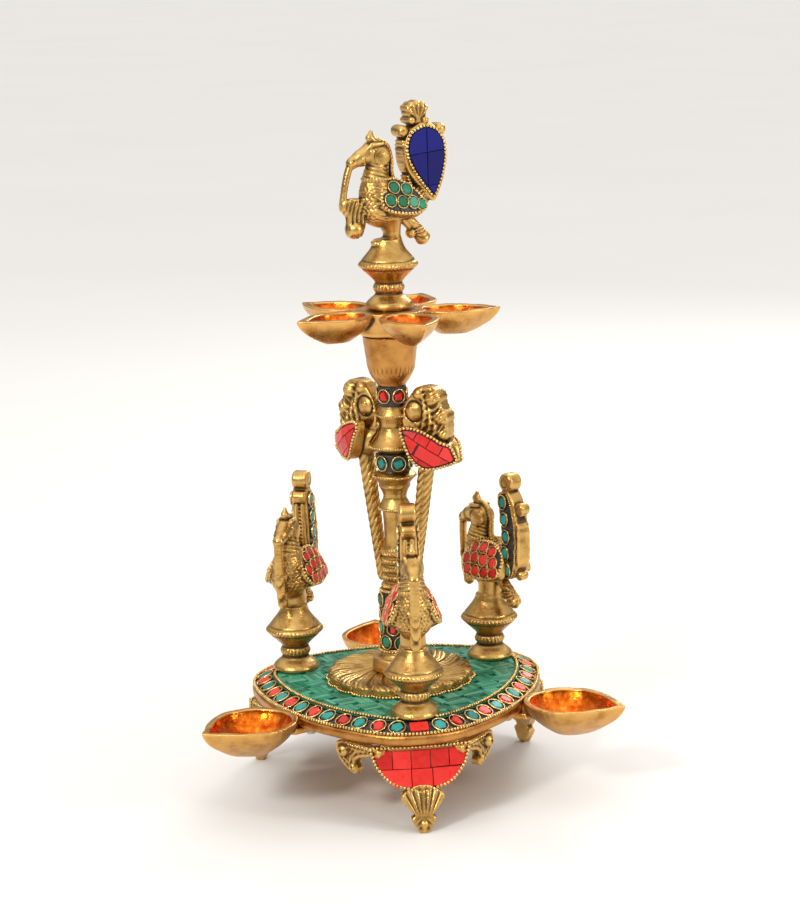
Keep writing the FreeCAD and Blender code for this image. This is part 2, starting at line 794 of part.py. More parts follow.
def flank_tiles():
    """The finial's lapis tiles: six on each flank, parted by hairline cross joints."""
    lift, joint = 1.4, 0.4
    found = []
    for start in (-TAIL_HALF_THICK - lift, TAIL_HALF_THICK):
        field = prism(teardrop(inset=1.7, side_x=start, **TAIL), Vector(lift, 0, 0))
        for low, high in ((40.0, 62.0), (62.0, 78.0), (78.0, 100.0)):
            for near, far in ((-10.0, 20.6), (20.6, 50.0)):
                cell = Part.makeBox(
                    40.0,
                    far - near - joint,
                    high - low - joint,
                    Vector(-20.0, near + joint / 2, low + joint / 2),
                )
                found += field.common(cell).Solids
    return compound(found)


def wing_stones(per_row):
    """Ringed oval stones in rows on each wing, the lowest row first."""
    found = []
    pitch_u, pitch_z = 6.2, 6.0
    for hand in (-1, 1):
        for row, count in enumerate(per_row):
            height = (row - (len(per_row) - 1) / 2.0) * pitch_z
            for i in range(count):
                u = (i - (count - 1) / 2.0) * pitch_u
                found.append(on_wing(oval(u, height, 2.7, 2.6, 0.0, 1.2), hand))
    return compound(found)


def tail_stones():
    """Five ringed stones in an upright row on each flank of a blade tail."""
    found = []
    for start in (-BLADE_HALF_THICK - 1.2, BLADE_HALF_THICK):
        for u, height in ((-20.4, 52.8), (-19.4, 61.8), (-20.0, 71.0), (-18.6, 80.4), (-17.6, 89.8)):
            found.append(oval(u, height, 2.3, 3.4, start, 1.2))
    return compound(found)


def flank_beads():
    """The bead borders round the finial tail's flanks and round both wings."""
    found = []
    width, depth = 1.4, 1.3
    for start in (-TAIL_HALF_THICK - depth, TAIL_HALF_THICK):
        outer = teardrop(inset=0.1, side_x=start, **TAIL)
        inner = teardrop(inset=0.1 + width, side_x=start, **TAIL)
        found.append(between(outer, inner, Vector(depth, 0, 0)))
    for hand in (-1, 1):
        disc = oval(0, 0, WING_HALF_U, WING_HALF_Z, 0.0, depth)
        hole = oval(0, 0, WING_HALF_U - width, WING_HALF_Z - width, -1.0, depth + 2.0)
        found.append(on_wing(disc.cut(hole), hand))
    return compound(found)


def bird_group():
    trunk = peacock()
    wing_set, tail_set = wing_stones((3, 4, 3)), tail_stones()
    bore = tube(size("ScrewRadius") + size("RodClearance"), -1.0, 16.0)
    small = fused([trunk] + blade_tail()).cut(compound([bore, wing_set, tail_set]))
    screw_low = size("PlateUnderside") - 2.6
    for name, angle in CORNERS:
        where = out(angle, size("BirdCircle"), size("BirdSeat"))
        place = facing(size(name.capitalize() + "Facing"), where)
        node("bird_" + name, small, place)
        node("bird_%s_wing_stones" % name, wing_set, place)
        node("bird_%s_tail_stones" % name, tail_set, place)
        centre = out(angle, size("BirdCircle"))
        shank = tube(size("ScrewRadius"), size("PlateUnderside"), size("BirdSeat") + 15.0, centre)
        head = tube(4.4, screw_low, size("PlateUnderside"), centre)
        node("bird_screw_" + name, fused([shank, head]))
    place = facing(size("FinialFacing"), Vector(0, 0, size("FinialSeat")))
    deep = tube(size("RodRadius") + size("RodClearance"), -1.0, 19.0)
    tiles, stones, beads = flank_tiles(), wing_stones((3, 3)), flank_beads()
    finial = fused([trunk] + broad_tail()).cut(compound([deep, stones, beads]))
    node("finial_bird", finial, place)
    node("finial_tail_tiles", tiles, place)
    node("finial_wing_stones", stones, place)
    node("finial_beads", beads, place)


# ---------------------------------------------------------------- brackets


SHIELD_EDGE = (
    (0.4, 194.0),
    (2.4, 185.6),
    (5.8, 178.0),
    (11.0, 173.2),
    (15.6, 172.6),
    (21.5, 173.8),
    (29.4, 176.4),
    (28.0, 184.0),
    (21.5, 186.6),
    (17.0, 190.0),
    (8.9, 193.8),
)
SHIELD_SPLAY = 23.0


def leaf(inset, x):
    """A bracket shield's outline in the plane x, from its round shoulder to its blunt tip."""
    middle = Vector(x, -14.6, 182.4)
    corners = []
    for s, z in SHIELD_EDGE:
        corner = Vector(x, -s, z)
        inward = middle - corner
        corners.append(corner + inward * (inset / inward.Length))
    return Part.makePolygon(corners + [corners[0]])


def on_shoulder(shape, hand):
    """Sets a shape built flat on the plane x = 0 on a bracket, tips drawn together outwards."""
    splay = Placement(Vector(13.6, -12.0, 0), Rotation(Vector(0, 0, 1), -SHIELD_SPLAY))
    placed = shape.copy()
    placed.Placement = splay.multiply(placed.Placement)
    if hand < 0:
        placed = placed.mirror(Vector(0, 0, 0), Vector(1, 0, 0))
    return placed


def bracket_shapes(stem):
    """A bracket towards -Y: a peacock facing the stem over a leaning rope bar.

    It bears on the stem at its arm and at the bar's foot, cut to the stem's own surface.
    """
    top, foot = size("BracketTop"), size("BarFoot")
    plume_half = 4.5
    bar = rod_between(at(10.2, foot + 2.0), at(20.8, 181.0), 2.7, 4.2)
    base = ball(2.9, at(10.2, foot + 2.4))
    body = ellipsoid(at(18.5, 183.6), 8.6, 11.0, 9.0)
    arm = rod_between(at(6.0, 191.0), at(20.0, 190.0), 3.4)
    head = ball(5.6, at(16.0, 201.0))
    edge = (
        (8.6, 192.0),
        (9.0, 203.0),
        (14.0, 211.0),
        (20.0, top),
        (29.5, top - 1.5),
        (33.0, 204.0),
        (36.0, 198.0),
        (35.0, 188.0),
        (22.0, 186.0),
    )
    corners = [at(reach, z, -plume_half) for reach, z in edge]
    plume = prism(Part.makePolygon(corners + [corners[0]]), Vector(2 * plume_half, 0, 0))
    backs, tiles, beads = [], [], []
    joint, lift = 0.4, 1.6
    for hand in (-1, 1):
        backs.append(on_shoulder(prism(leaf(0.0, -6.0), Vector(6.0, 0, 0)), hand))
        field = prism(leaf(1.9, 0.0), Vector(lift, 0, 0))
        for low, high in ((160.0, 179.8), (179.8, 186.6), (186.6, 210.0)):
            for near, far in ((-5.0, 9.5), (9.5, 18.6), (18.6, 40.0)):
                cell = Part.makeBox(40, far - near - joint, high - low - joint)
                cell.translate(Vector(-20, -far + joint / 2, low + joint / 2))
                tiles += [on_shoulder(t, hand) for t in field.common(cell).Solids]
        rim = between(leaf(0.1, 0.0), leaf(1.7, 0.0), Vector(1.3, 0, 0))
        beads.append(on_shoulder(rim, hand))
    casting = fused([bar, base, body, arm, head, plume] + backs)
    casting = casting.cut(compound(tiles + beads)).cut(stem)
    return casting, compound(tiles), compound(beads)


def bracket_group():
    doc.recompute()
    bearing = ("stem_column", "stem_baluster", "stem_lac")
    stem = compound([piece.Shape for piece in nodes if piece.Label in bearing])
    tiles_all, beads_all = [], []
    for name, alias in (("right", "BracketRightAngle"), ("left", "BracketLeftAngle")):
        casting, tiles, beads = bracket_shapes(stem)
        place = facing(size(alias))
        node("bracket_" + name, casting, place)
        tiles.Placement = place
        beads.Placement = place
        tiles_all.append(tiles)
        beads_all.append(beads)
    node("bracket_tiles", compound(tiles_all))
    node("bracket_beads", compound(beads_all))


plate_group()
leg_group()
diya_group()
rod_group()
stem_group()
bracket_group()
node("oil_tray", tray_shape())
bird_group()
doc.recompute()

# The origin is the middle of the footprint on the table: the rear oil cup reaches further back
# than the front foot reaches forward, so the stem's axis stands in front of the origin.
middle = Vector(0, (size("FootReach") - size("DiyaTip")) / 2.0, 0)
for piece in nodes:
    piece.Placement = Placement(middle, Rotation()).multiply(piece.Placement)
doc.recompute()

# ---------------------------------------------------------------- check and export

names = [piece.Label for piece in nodes]
assert len(names) == len(set(names)) <= 60
for piece in nodes:
    assert "Invalid" not in piece.State and "Error" not in piece.State, (piece.Label, piece.State)
    assert not piece.Shape.isNull(), piece.Label
    assert piece.Shape.isValid(), piece.Label
os.makedirs("parts", exist_ok=True)
for piece in nodes:
    piece.Shape.exportStep("parts/%s.step" % piece.Label)
print(len(nodes), "sub-parts written")
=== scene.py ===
import math
from functools import partial

import bmesh
import bpy
import numpy as np
from mathutils import Matrix, Vector


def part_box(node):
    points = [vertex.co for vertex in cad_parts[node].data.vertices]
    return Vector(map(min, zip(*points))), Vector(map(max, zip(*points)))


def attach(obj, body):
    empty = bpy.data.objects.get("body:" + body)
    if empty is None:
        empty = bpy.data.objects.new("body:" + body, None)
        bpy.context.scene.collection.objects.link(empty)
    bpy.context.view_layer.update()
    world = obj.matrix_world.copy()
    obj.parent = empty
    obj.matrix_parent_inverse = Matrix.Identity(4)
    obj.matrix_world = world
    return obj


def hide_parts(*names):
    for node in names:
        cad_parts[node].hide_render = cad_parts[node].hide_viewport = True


# The looks of a brass standing oil lamp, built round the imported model.
# Shapes are worked out in millimetres round the stem's axis, with z up from the table.
# Angles go round the axis from the front (-Y) towards +X, and a bird's own u runs forwards.

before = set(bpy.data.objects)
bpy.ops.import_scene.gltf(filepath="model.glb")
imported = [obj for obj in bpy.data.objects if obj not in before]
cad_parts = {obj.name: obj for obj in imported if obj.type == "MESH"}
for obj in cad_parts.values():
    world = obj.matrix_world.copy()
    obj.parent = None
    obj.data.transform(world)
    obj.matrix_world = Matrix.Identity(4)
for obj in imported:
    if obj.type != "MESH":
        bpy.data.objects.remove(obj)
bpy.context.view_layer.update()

MM = 0.001
ROD_LOW, ROD_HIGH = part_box("tie_rod")
AXIS = ((ROD_LOW + ROD_HIGH) / 2).xy.to_3d()
CORNERS = (("front", 0.0), ("right", 120.0), ("left", -120.0))
CUP_SIDES = (("right", 60.0), ("left", -60.0), ("back", 180.0))
rng = np.random.default_rng(7)


def top_of(node):
    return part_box(node)[1].z / MM


def bottom_of(node):
    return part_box(node)[0].z / MM


def out(angle, radius, z=0.0):
    """The point at an angle round the stem, a radius from its axis and a height."""
    turn = math.radians(angle)
    return np.array([radius * math.sin(turn), -radius * math.cos(turn), z])


def at(reach, z, x=0.0):
    """The point of a casting built towards -Y, from its reach forwards, its height and its side."""
    return np.array([x, -reach, z])


PLATE_LOW = bottom_of("base_plate")
PLATE_TOP = bottom_of("green_mosaic")
MOSAIC_TOP = top_of("green_mosaic")
BIRD_SEAT = bottom_of("bird_front")
FINIAL_SEAT = bottom_of("finial_bird")
BIRD_HEIGHT = top_of("finial_bird") - FINIAL_SEAT
TRAY_LOW, TRAY_RIM = bottom_of("oil_tray"), top_of("oil_tray")
DIYA_LOW, DIYA_RIM = bottom_of("diya_back"), top_of("diya_back")
DIYA_TIP = (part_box("diya_back")[1].y - AXIS.y) / MM
LOTUS_TOP = top_of("lotus_plate")
LOTUS_RADIUS = (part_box("lotus_plate")[1].x - AXIS.x) / MM
DRUM_LOW, DRUM_TOP = bottom_of("stem_drum"), top_of("stem_drum")
COLUMN_TOP = top_of("stem_column")
BALUSTER_TOP = top_of("stem_baluster")
CUP_TOP = top_of("tray_cup")
BIRD_CIRCLE = 61.5
TILE_JOINT = 0.14
FACINGS = {"front": -3.0, "left": -25.0, "right": -147.0}
FINIAL_FACING = -70.0
BRACKET_ANGLES = {"right": 52.0, "left": -140.0}


# ------------------------------------------------------------------ meshes


class Pile:
    """Points and faces gathered into one mesh, in millimetres."""

    def __init__(self):
        self.points = []
        self.faces = []
        self.tones = []

    def add(self, points, faces, tone=0.5):
        start = len(self.points)
        self.points.extend([tuple(float(c) for c in p) for p in points])
        self.faces.extend([tuple(int(i) + start for i in f) for f in faces])
        self.tones.extend([tone] * len(points))

    def merge(self, other, place):
        start = len(self.points)
        self.points.extend([tuple(place(np.array(p))) for p in other.points])
        self.faces.extend([tuple(i + start for i in f) for f in other.faces])
        self.tones.extend(other.tones)


def emit(name, body, material, points, faces, replaces=(), slot=None, smooth=True, mend=False, **data):
    """Makes one piece of the lamp from millimetre points, riding on a body of the frame."""
    mesh = bpy.data.meshes.new(name)
    place = np.asarray(points, dtype=float) * MM + np.array(AXIS)
    mesh.from_pydata(place.tolist(), [], [tuple(int(i) for i in f) for f in faces])
    mesh.update()
    if mend:
        loose = bmesh.new()
        loose.from_mesh(mesh)
        bmesh.ops.recalc_face_normals(loose, faces=loose.faces)
        loose.to_mesh(mesh)
        loose.free()
    for key, values in data.items():
        layer = mesh.attributes.new(key, "FLOAT", "POINT")
        layer.data.foreach_set("value", np.asarray(values, dtype=np.float32))
    if smooth:
        mesh.shade_smooth()
    mesh.materials.append(material)
    piece = bpy.data.objects.new(name, mesh)
    bpy.context.scene.collection.objects.link(piece)
    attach(piece, body)
    if replaces:
        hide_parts(*replaces)
    return piece


def cast(name, body, metal, points, faces, node, **data):
    """Makes one metal casting, in place of a CAD node."""
    return emit(name, body, metal, points, faces, (node,), "cast_brass", **data)


def emit_pile(name, body, finish, pile, *nodes):
    """Makes one piece of a pile, in one of the FINISHES, in place of the CAD nodes named."""
    material, slot, smooth = FINISHES[finish]
    return emit(name, body, material, pile.points, pile.faces, nodes, slot, smooth, True, tone=pile.tones)


def turned(angle, centre=(0.0, 0.0, 0.0)):
    """A function that turns points built towards -Y to an angle, and moves them to a centre."""
    turn = math.radians(angle)
    c, s = math.cos(turn), math.sin(turn)
    spin = np.array([[c, -s, 0.0], [s, c, 0.0], [0.0, 0.0, 1.0]])
    return lambda points: np.asarray(points) @ spin.T + np.asarray(centre)


def smooth_curve(corners, per_span=8, closed=False):
    """A Catmull-Rom curve through a few corners."""
    pts = np.asarray(corners, dtype=float)
    count = len(pts)
    found = []
    spans = count if closed else count - 1
    for i in range(spans):
        if closed:
            p = [pts[(i + k) % count] for k in (-1, 0, 1, 2)]
        else:
            p = [pts[min(max(i + k, 0), count - 1)] for k in (-1, 0, 1, 2)]
        for step in range(per_span):
            t = step / per_span
            found.append(
                0.5 * (
                    2 * p[1] + (p[2] - p[0]) * t + (
                        2 * p[0] - 5 * p[1] + 4 * p[2] - p[3]
                    ) * t**2 + (3 * p[1] - 3 * p[2] + p[3] - p[0]) * t**3
                )
            )
    if not closed:
        found.append(pts[-1])
    return np.array(found)


def loop(corners):
    """A smooth closed outline through a few corners."""
    return smooth_curve(corners, 4, closed=True)


def evenly(path, gap, closed=False):
    """Points a fixed gap apart along a path, fitted to its whole length."""
    pts = np.asarray(path, dtype=float)
    if closed:
        pts = np.vstack([pts, pts[:1]])
    steps = np.linalg.norm(np.diff(pts, axis=0), axis=1)
    along = np.concatenate([[0.0], np.cumsum(steps)])
    count = max(2, int(round(along[-1] / gap)))
    stops = np.linspace(0, along[-1], count + (0 if closed else 1), endpoint=not closed)
    return np.stack([np.interp(stops, along, pts[:, k]) for k in range(pts.shape[1])], axis=1)


def grid_faces(rows, cols):
    """Quads over a grid of rows, each row closed into a ring."""
    faces = []
    for i in range(rows - 1):
        for j in range(cols):
            k = (j + 1) % cols
            faces.append((i * cols + j, i * cols + k, (i + 1) * cols + k, (i + 1) * cols + j))
    return faces


def fan_faces(start, count):
    """Triangles from a ring of points to the one point after it."""
    return [(start + j, start + (j + 1) % count, start + count) for j in range(count)]


def ring_path(radius, z, count=240):
    """A level ring round the stem. The radius and the height may vary along it."""
    theta = np.linspace(0, 2 * math.pi, count, endpoint=False)
    return np.column_stack([radius * np.cos(theta), radius * np.sin(theta), np.broadcast_to(z, count)])


def lathe(profile, around=160, detail=None):
    """A turned shape from (radius, height) points, with an optional relief by angle and height."""
    pts = np.asarray(profile, dtype=float)
    theta = np.linspace(0, 2 * math.pi, around, endpoint=False)
    radius = np.repeat(pts[:, :1], around, axis=1)
    height = np.repeat(pts[:, 1:2], around, axis=1)
    if detail is not None:
        radius = radius + detail(theta[None, :], height)
    points = np.stack([radius * np.cos(theta), radius * np.sin(theta), height], axis=-1)
    faces = grid_faces(len(pts), around)
    return points.reshape(-1, 3), faces


def bead(pile, centre, radius, tone=0.5):
    """One small bead."""
    rings, around = 6, 10
    points = [centre + np.array([0, 0, -radius])]
    for i in range(1, rings):
        polar = math.pi * i / rings
        for j in range(around):
            turn = 2 * math.pi * j / around
            flat, up = math.sin(polar), -math.cos(polar)
            points.append(centre + radius * np.array([flat * math.cos(turn), flat * math.sin(turn), up]))
    points.append(centre + np.array([0, 0, radius]))
    last = len(points) - 1
    faces = []
    for j in range(around):
        k = (j + 1) % around
        faces.append((0, 1 + k, 1 + j))
        faces.append((last, last - around + j, last - around + k))
        for i in range(rings - 2):
            low, high = 1 + i * around, 1 + (i + 1) * around
            faces.append((low + j, low + k, high + k, high + j))
    pile.add(points, faces, tone)


def bead_string(pile, path, radius, closed=False, gap=None):
    """Beads side by side along a path, each a little uneven, on a thin wire."""
    for centre in evenly(path, gap or radius * 2.05, closed):
        bead(pile, centre + rng.normal(0, radius * 0.05, 3), radius * rng.uniform(0.92, 1.06))


def basis(normal, along):
    """Three axes for a thing that lies on a surface: along, across and out of it."""
    normal = np.asarray(normal, dtype=float)
    normal = normal / np.linalg.norm(normal)
    along = np.asarray(along, dtype=float)
    along = along - normal * (along @ normal)
    along = along / np.linalg.norm(along)
    return np.stack([along, np.cross(normal, along), normal], axis=1)


def oval_ring(pile, centre, axes, half_a, half_b, wire, height, around=28):
    """A ring of flat wire on edge, an oval with a rounded top."""
    section = [(-0.5, 0.0), (-0.5, 0.7), (-0.22, 1.0), (0.22, 1.0), (0.5, 0.7), (0.5, 0.0)]
    points = []
    for j in range(around):
        turn = 2 * math.pi * j / around
        wave = 1 + 0.02 * math.sin(3 * turn + centre[0])
        for offset, lift in section:
            a = (half_a + offset * wire) * math.cos(turn) * wave
            b = (half_b + offset * wire) * math.sin(turn) * wave
            points.append(centre + axes @ np.array([a, b, lift * height]))
    rows = len(section)
    faces = []
    for j in range(around):
        k = (j + 1) % around
        for i in range(rows - 1):
            faces.append((j * rows + i, j * rows + i + 1, k * rows + i + 1, k * rows + i))
        faces.append((j * rows + rows - 1, j * rows, k * rows, k * rows + rows - 1))
    pile.add(points, faces)


def cut_faces(count):
    """The faces of a stone of three rings of points: two bands of sides and its top."""
    top = tuple(2 * count + j for j in range(count))
    return grid_faces(3, count) + [top]


def chip(pile, centre, axes, half_a, half_b, height, corners=6, wobble=0.16):
    """A hand-broken stone chip: an uneven outline with a chamfered, slightly tilted top."""
    start = rng.uniform(0, 2 * math.pi)
    turns = start + 2 * math.pi * (np.arange(corners) + rng.uniform(-0.22, 0.22, corners)) / corners
    reach = rng.uniform(1 - wobble, 1.0, corners)
    tilt = rng.uniform(-0.10, 0.10, 2)
    chamfer = 0.16
    points = []
    for share, lift in ((1.0, 0.0), (1.0, 0.62), (1.0 - chamfer, 1.0)):
        for turn, far in zip(turns, reach):
            a, b = half_a * far * share * math.cos(turn), half_b * far * share * math.sin(turn)
            up = lift * height + lift * (tilt[0] * a + tilt[1] * b)
            points.append(centre + axes @ np.array([a, b, up]))
    faces = cut_faces(corners) + [tuple(reversed(range(corners)))]
    pile.add(points, faces, rng.uniform(0, 1))


def clipped(polygon, inside_of):
    """A convex polygon cut down to the inner side of each (point, inward normal) line."""
    for point, inward in inside_of:
        kept = []
        count = len(polygon)
        for i in range(count):
            a, b = polygon[i], polygon[(i + 1) % count]
            da, db = (a - point) @ inward, (b - point) @ inward
            if da >= 0:
                kept.append(a)
            if (da < 0) != (db < 0):
                kept.append(a + (b - a) * da / (da - db))
        polygon = kept
        if len(polygon) < 3:
            return []
    return polygon


def area_of(polygon):
    pts = np.array(polygon)
    x, y = pts[:, 0], pts[:, 1]
    return 0.5 * (x @ np.roll(y, -1) - y @ np.roll(x, -1))


def tile(pile, outline, surface, height, chamfer=0.22):
    """A flat stone tile over a 2-D outline, set on a surface given as a function to 3-D."""
    pts = np.array(outline)
    if len(pts) < 3 or abs(area_of(pts)) < 0.6:
        return
    if area_of(pts) < 0:
        pts = pts[::-1]
    middle = pts.mean(axis=0)
    size = np.linalg.norm(pts - middle, axis=1)[:, None]
    inner = middle + (pts - middle) * np.maximum(0.3, 1 - chamfer / np.maximum(size, 0.01))
    tilt = rng.uniform(-0.025, 0.025, 2)
    count = len(pts)
    points = []
    for ring, lift in ((pts, 0.0), (pts, height * 0.78), (inner, height)):
        for p in ring:
            up = lift + (tilt @ (p - middle) if lift > 0 else 0.0)
            points.append(surface(p[0], p[1], up))
    pile.add(points, cut_faces(count), rng.uniform(0, 1))


def cut_tile(pile, field, cell, surface, height, chamfer):
    """The tile that one cell leaves of a field, if they meet."""
    piece = clipped(field, half_planes(np.array(cell)))
    if piece:
        tile(pile, piece, surface, height, chamfer)


def lac_sheet(pile, rim, surface, lift, shares):
    """A lac bed inside an outline: rings round its middle, set on a surface given as a function to 3-D."""
    middle = rim.mean(axis=0)
    points = [surface(*(middle + (p - middle) * share), lift) for share in shares for p in rim]
    points.append(surface(*middle, lift))
    count = len(rim)
    pile.add(points, grid_faces(len(shares), count) + fan_faces((len(shares) - 1) * count, count))


def outward(faces, outline, side):
    """The faces of a sheet on one flank, turned over where they would look inwards."""
    if (area_of(outline) > 0) == (side < 0):
        return [tuple(reversed(f)) for f in faces]
    return faces


def repeated(pile, angles):
    """Copies of a pile at some angles round the stem."""
    copies = Pile()
    for angle in angles:
        copies.merge(pile, turned(angle))
    return copies


# ------------------------------------------------------------------ clay


def rise(value, start, width):
    """0 up to a start, then growing to 1 over a width."""
    return np.clip((value - start) / width, 0, 1)


def fall(value, end, width):
    """1 until a width before an end, then fading to 0 at it."""
    return np.clip((end - value) / width, 0, 1)


def blend_min(a, b, soft):
    if soft <= 0:
        return np.minimum(a, b)
    near = np.maximum(soft - np.abs(a - b), 0) / soft
    return np.minimum(a, b) - near * near * soft * 0.25


def polygon_distance(x, y, corners):
    """Signed distance in the plane to a closed outline, negative inside."""
    corners = np.asarray(corners, dtype=np.float32)
    nearest = np.full(np.broadcast(x, y).shape, 1e9, np.float32)
    crossings = np.zeros(nearest.shape, bool)
    for (ax, ay), (bx, by) in zip(corners, np.roll(corners, -1, axis=0)):
        ex, ey = bx - ax, by - ay
        wx, wy = x - ax, y - ay
        share = np.clip((wx * ex + wy * ey) / max(ex * ex + ey * ey, 1e-9), 0, 1)
        nearest = np.minimum(nearest, (wx - ex * share) ** 2 + (wy - ey * share) ** 2)
        if ay != by:
            over = (ay > y) != (by > y)
            crossings ^= over & (x < ex * (y - ay) / ey + ax)
    far = np.sqrt(nearest)
    return np.where(crossings, -far, far)


class Clay:
    """A block of voxels with a signed distance, negative inside, that shapes are worked into."""

    def __init__(self, low, high, step):
        self.low = np.array(low, dtype=float)
        self.step = step
        shape = np.ceil((np.array(high) - self.low) / step).astype(int) + 1
        self.field = np.full(tuple(shape), 40.0, np.float32)

    def window(self, low, high):
        """The slices and coordinates of the voxels inside a box."""
        start = np.floor((np.asarray(low) - self.low) / self.step).astype(int)
        stop = np.ceil((np.asarray(high) - self.low) / self.step).astype(int) + 1
        start = np.clip(start, 0, np.array(self.field.shape) - 1)
        stop = np.clip(stop, start + 1, self.field.shape)
        cut = tuple(slice(a, b) for a, b in zip(start, stop))
        lines = [
            (self.low[k] + self.step * np.arange(start[k], stop[k])).astype(np.float32) for k in range(3)
        ]
        return cut, (lines[0][:, None, None], lines[1][None, :, None], lines[2][None, None, :])

    def work(self, low, high, distance, soft=0.0, carve=False):
        """Adds a shape to the clay, or carves it away, with a soft seam."""
        pad = soft + 2 * self.step
        cut, (x, y, z) = self.window(np.asarray(low) - pad, np.asarray(high) + pad)
        shape = distance(x, y, z).astype(np.float32)
        if carve:
            self.field[cut] = -blend_min(-self.field[cut], shape, soft)
        else:
            self.field[cut] = blend_min(self.field[cut], shape, soft)

    def relief(self, low, high, height):
        """Raises the surface inside a box by a height given as a function of place."""
        cut, (x, y, z) = self.window(low, high)
        self.field[cut] -= height(x, y, z).astype(np.float32)

    def ball(self, centre, radii, soft=0.0, carve=False, lean=0.0):
        """A ball or an ellipsoid, leaning in the YZ plane by an angle in degrees."""
        centre = np.asarray(centre, dtype=float)
        radii = np.broadcast_to(np.asarray(radii, dtype=float), (3,))
        reach = float(max(radii))
        c, s = math.cos(math.radians(lean)), math.sin(math.radians(lean))

        def distance(x, y, z):
            px, qy, qz = x - centre[0], y - centre[1], z - centre[2]
            py, pz = qy * c + qz * s, qz * c - qy * s
            scaled = np.sqrt((px / radii[0]) ** 2 + (py / radii[1]) ** 2 + (pz / radii[2]) ** 2)
            slope = np.sqrt((px / radii[0] ** 2) ** 2 + (py / radii[1] ** 2) ** 2 + (pz / radii[2] ** 2) ** 2)
            return scaled * (scaled - 1) / np.maximum(slope, 1e-3)

        self.work(centre - reach, centre + reach, distance, soft, carve)

    def bar(self, start, end, start_radius, end_radius=None, soft=0.0, carve=False, wide=1.0):
        """A round bar, tapered if two radii are given, and widened across X by a factor."""
        a, b = np.asarray(start, dtype=float), np.asarray(end, dtype=float)
        end_radius = start_radius if end_radius is None else end_radius
        reach = max(start_radius, end_radius) * max(wide, 1.0)
        along = b - a
        length = along @ along

        def distance(x, y, z):
            wx, wy, wz = (x - a[0]) / wide, y - a[1], z - a[2]
            share = (wx * along[0] / wide + wy * along[1] + wz * along[2]) / length
            share = np.clip(share, 0, 1)
            dx = wx - along[0] / wide * share
            dy = wy - along[1] * share
            dz = wz - along[2] * share
            gap = np.sqrt(dx * dx + dy * dy + dz * dz)
            return gap - (start_radius + (end_radius - start_radius) * share)

        self.work(np.minimum(a, b) - reach, np.maximum(a, b) + reach, distance, soft, carve)

    def run(self, places, radii, soft=0.0, joint=0.6, carve=False, wide=1.0):
        """Bars end to end through (reach, height, side) places, with a radius at each."""
        points = [at(*place) for place in places]
        radii = np.broadcast_to(np.asarray(radii, dtype=float), (len(points),))
        for i in range(len(points) - 1):
            seam = soft if not carve and i == 0 else joint
            self.bar(points[i], points[i + 1], radii[i], radii[i + 1], seam, carve, wide)

    def roll(self, reach, z, half, radius, soft):
        """A round roll lying across the casting."""
        self.run([(reach, z, -half), (reach, z, half)], radius, soft)

    def groove(self, centre, radii, side, width, step):
        """A ring cut into a flank, round a (reach, height) centre."""
        for turn in range(0, 360, step):
            ends = [
                at(
                    centre[0] + radii[0] * math.cos(math.radians(angle)),
                    centre[1] + radii[1] * math.sin(math.radians(angle)),
                    side,
                )
                for angle in (turn, turn + step)
            ]
            self.bar(*ends, width, soft=0.2, carve=True)

    def plate(self, outline, half, soft, rounding):
        """A flat plate over a (reach, height) outline, standing along the casting's middle."""
        self.slab([(-reach, z) for reach, z in outline], (1, 2), 0.0, half, soft, rounding)

    def slab(self, outline, plane, middle, half, soft=0.0, rounding=0.8, carve=False):
        """A flat plate over an outline in the plane of two axes, centred on the third."""
        first, second = plane
        third = 3 - first - second
        pts = np.asarray(outline, dtype=float)
        low, high = np.zeros(3), np.zeros(3)
        for axis, column in ((first, 0), (second, 1)):
            low[axis] = pts[:, column].min()
            high[axis] = pts[:, column].max()
        low[third], high[third] = middle - half, middle + half

        def distance(x, y, z):
            place = (x, y, z)
            flat = polygon_distance(place[first], place[second], pts) + rounding
            deep = np.abs(place[third] - middle) - half + rounding
            inside = np.minimum(np.maximum(flat, deep), 0)
            outside = np.sqrt(np.maximum(flat, 0) ** 2 + np.maximum(deep, 0) ** 2)
            return inside + outside - rounding

        self.work(low, high, distance, soft, carve)

    def turn(self, profile, soft=0.0, centre=(0.0, 0.0)):
        """A turned shape from a closed (radius, height) outline."""
        pts = np.asarray(profile, dtype=float)
        reach = pts[:, 0].max()
        low = (centre[0] - reach, centre[1] - reach, pts[:, 1].min())
        high = (centre[0] + reach, centre[1] + reach, pts[:, 1].max())
        mirrored = np.vstack([pts, (pts * (-1, 1))[::-1]])

        def distance(x, y, z):
            radius = np.sqrt((x - centre[0]) ** 2 + (y - centre[1]) ** 2)
            return polygon_distance(radius, z, mirrored)

        self.work(low, high, distance, soft)

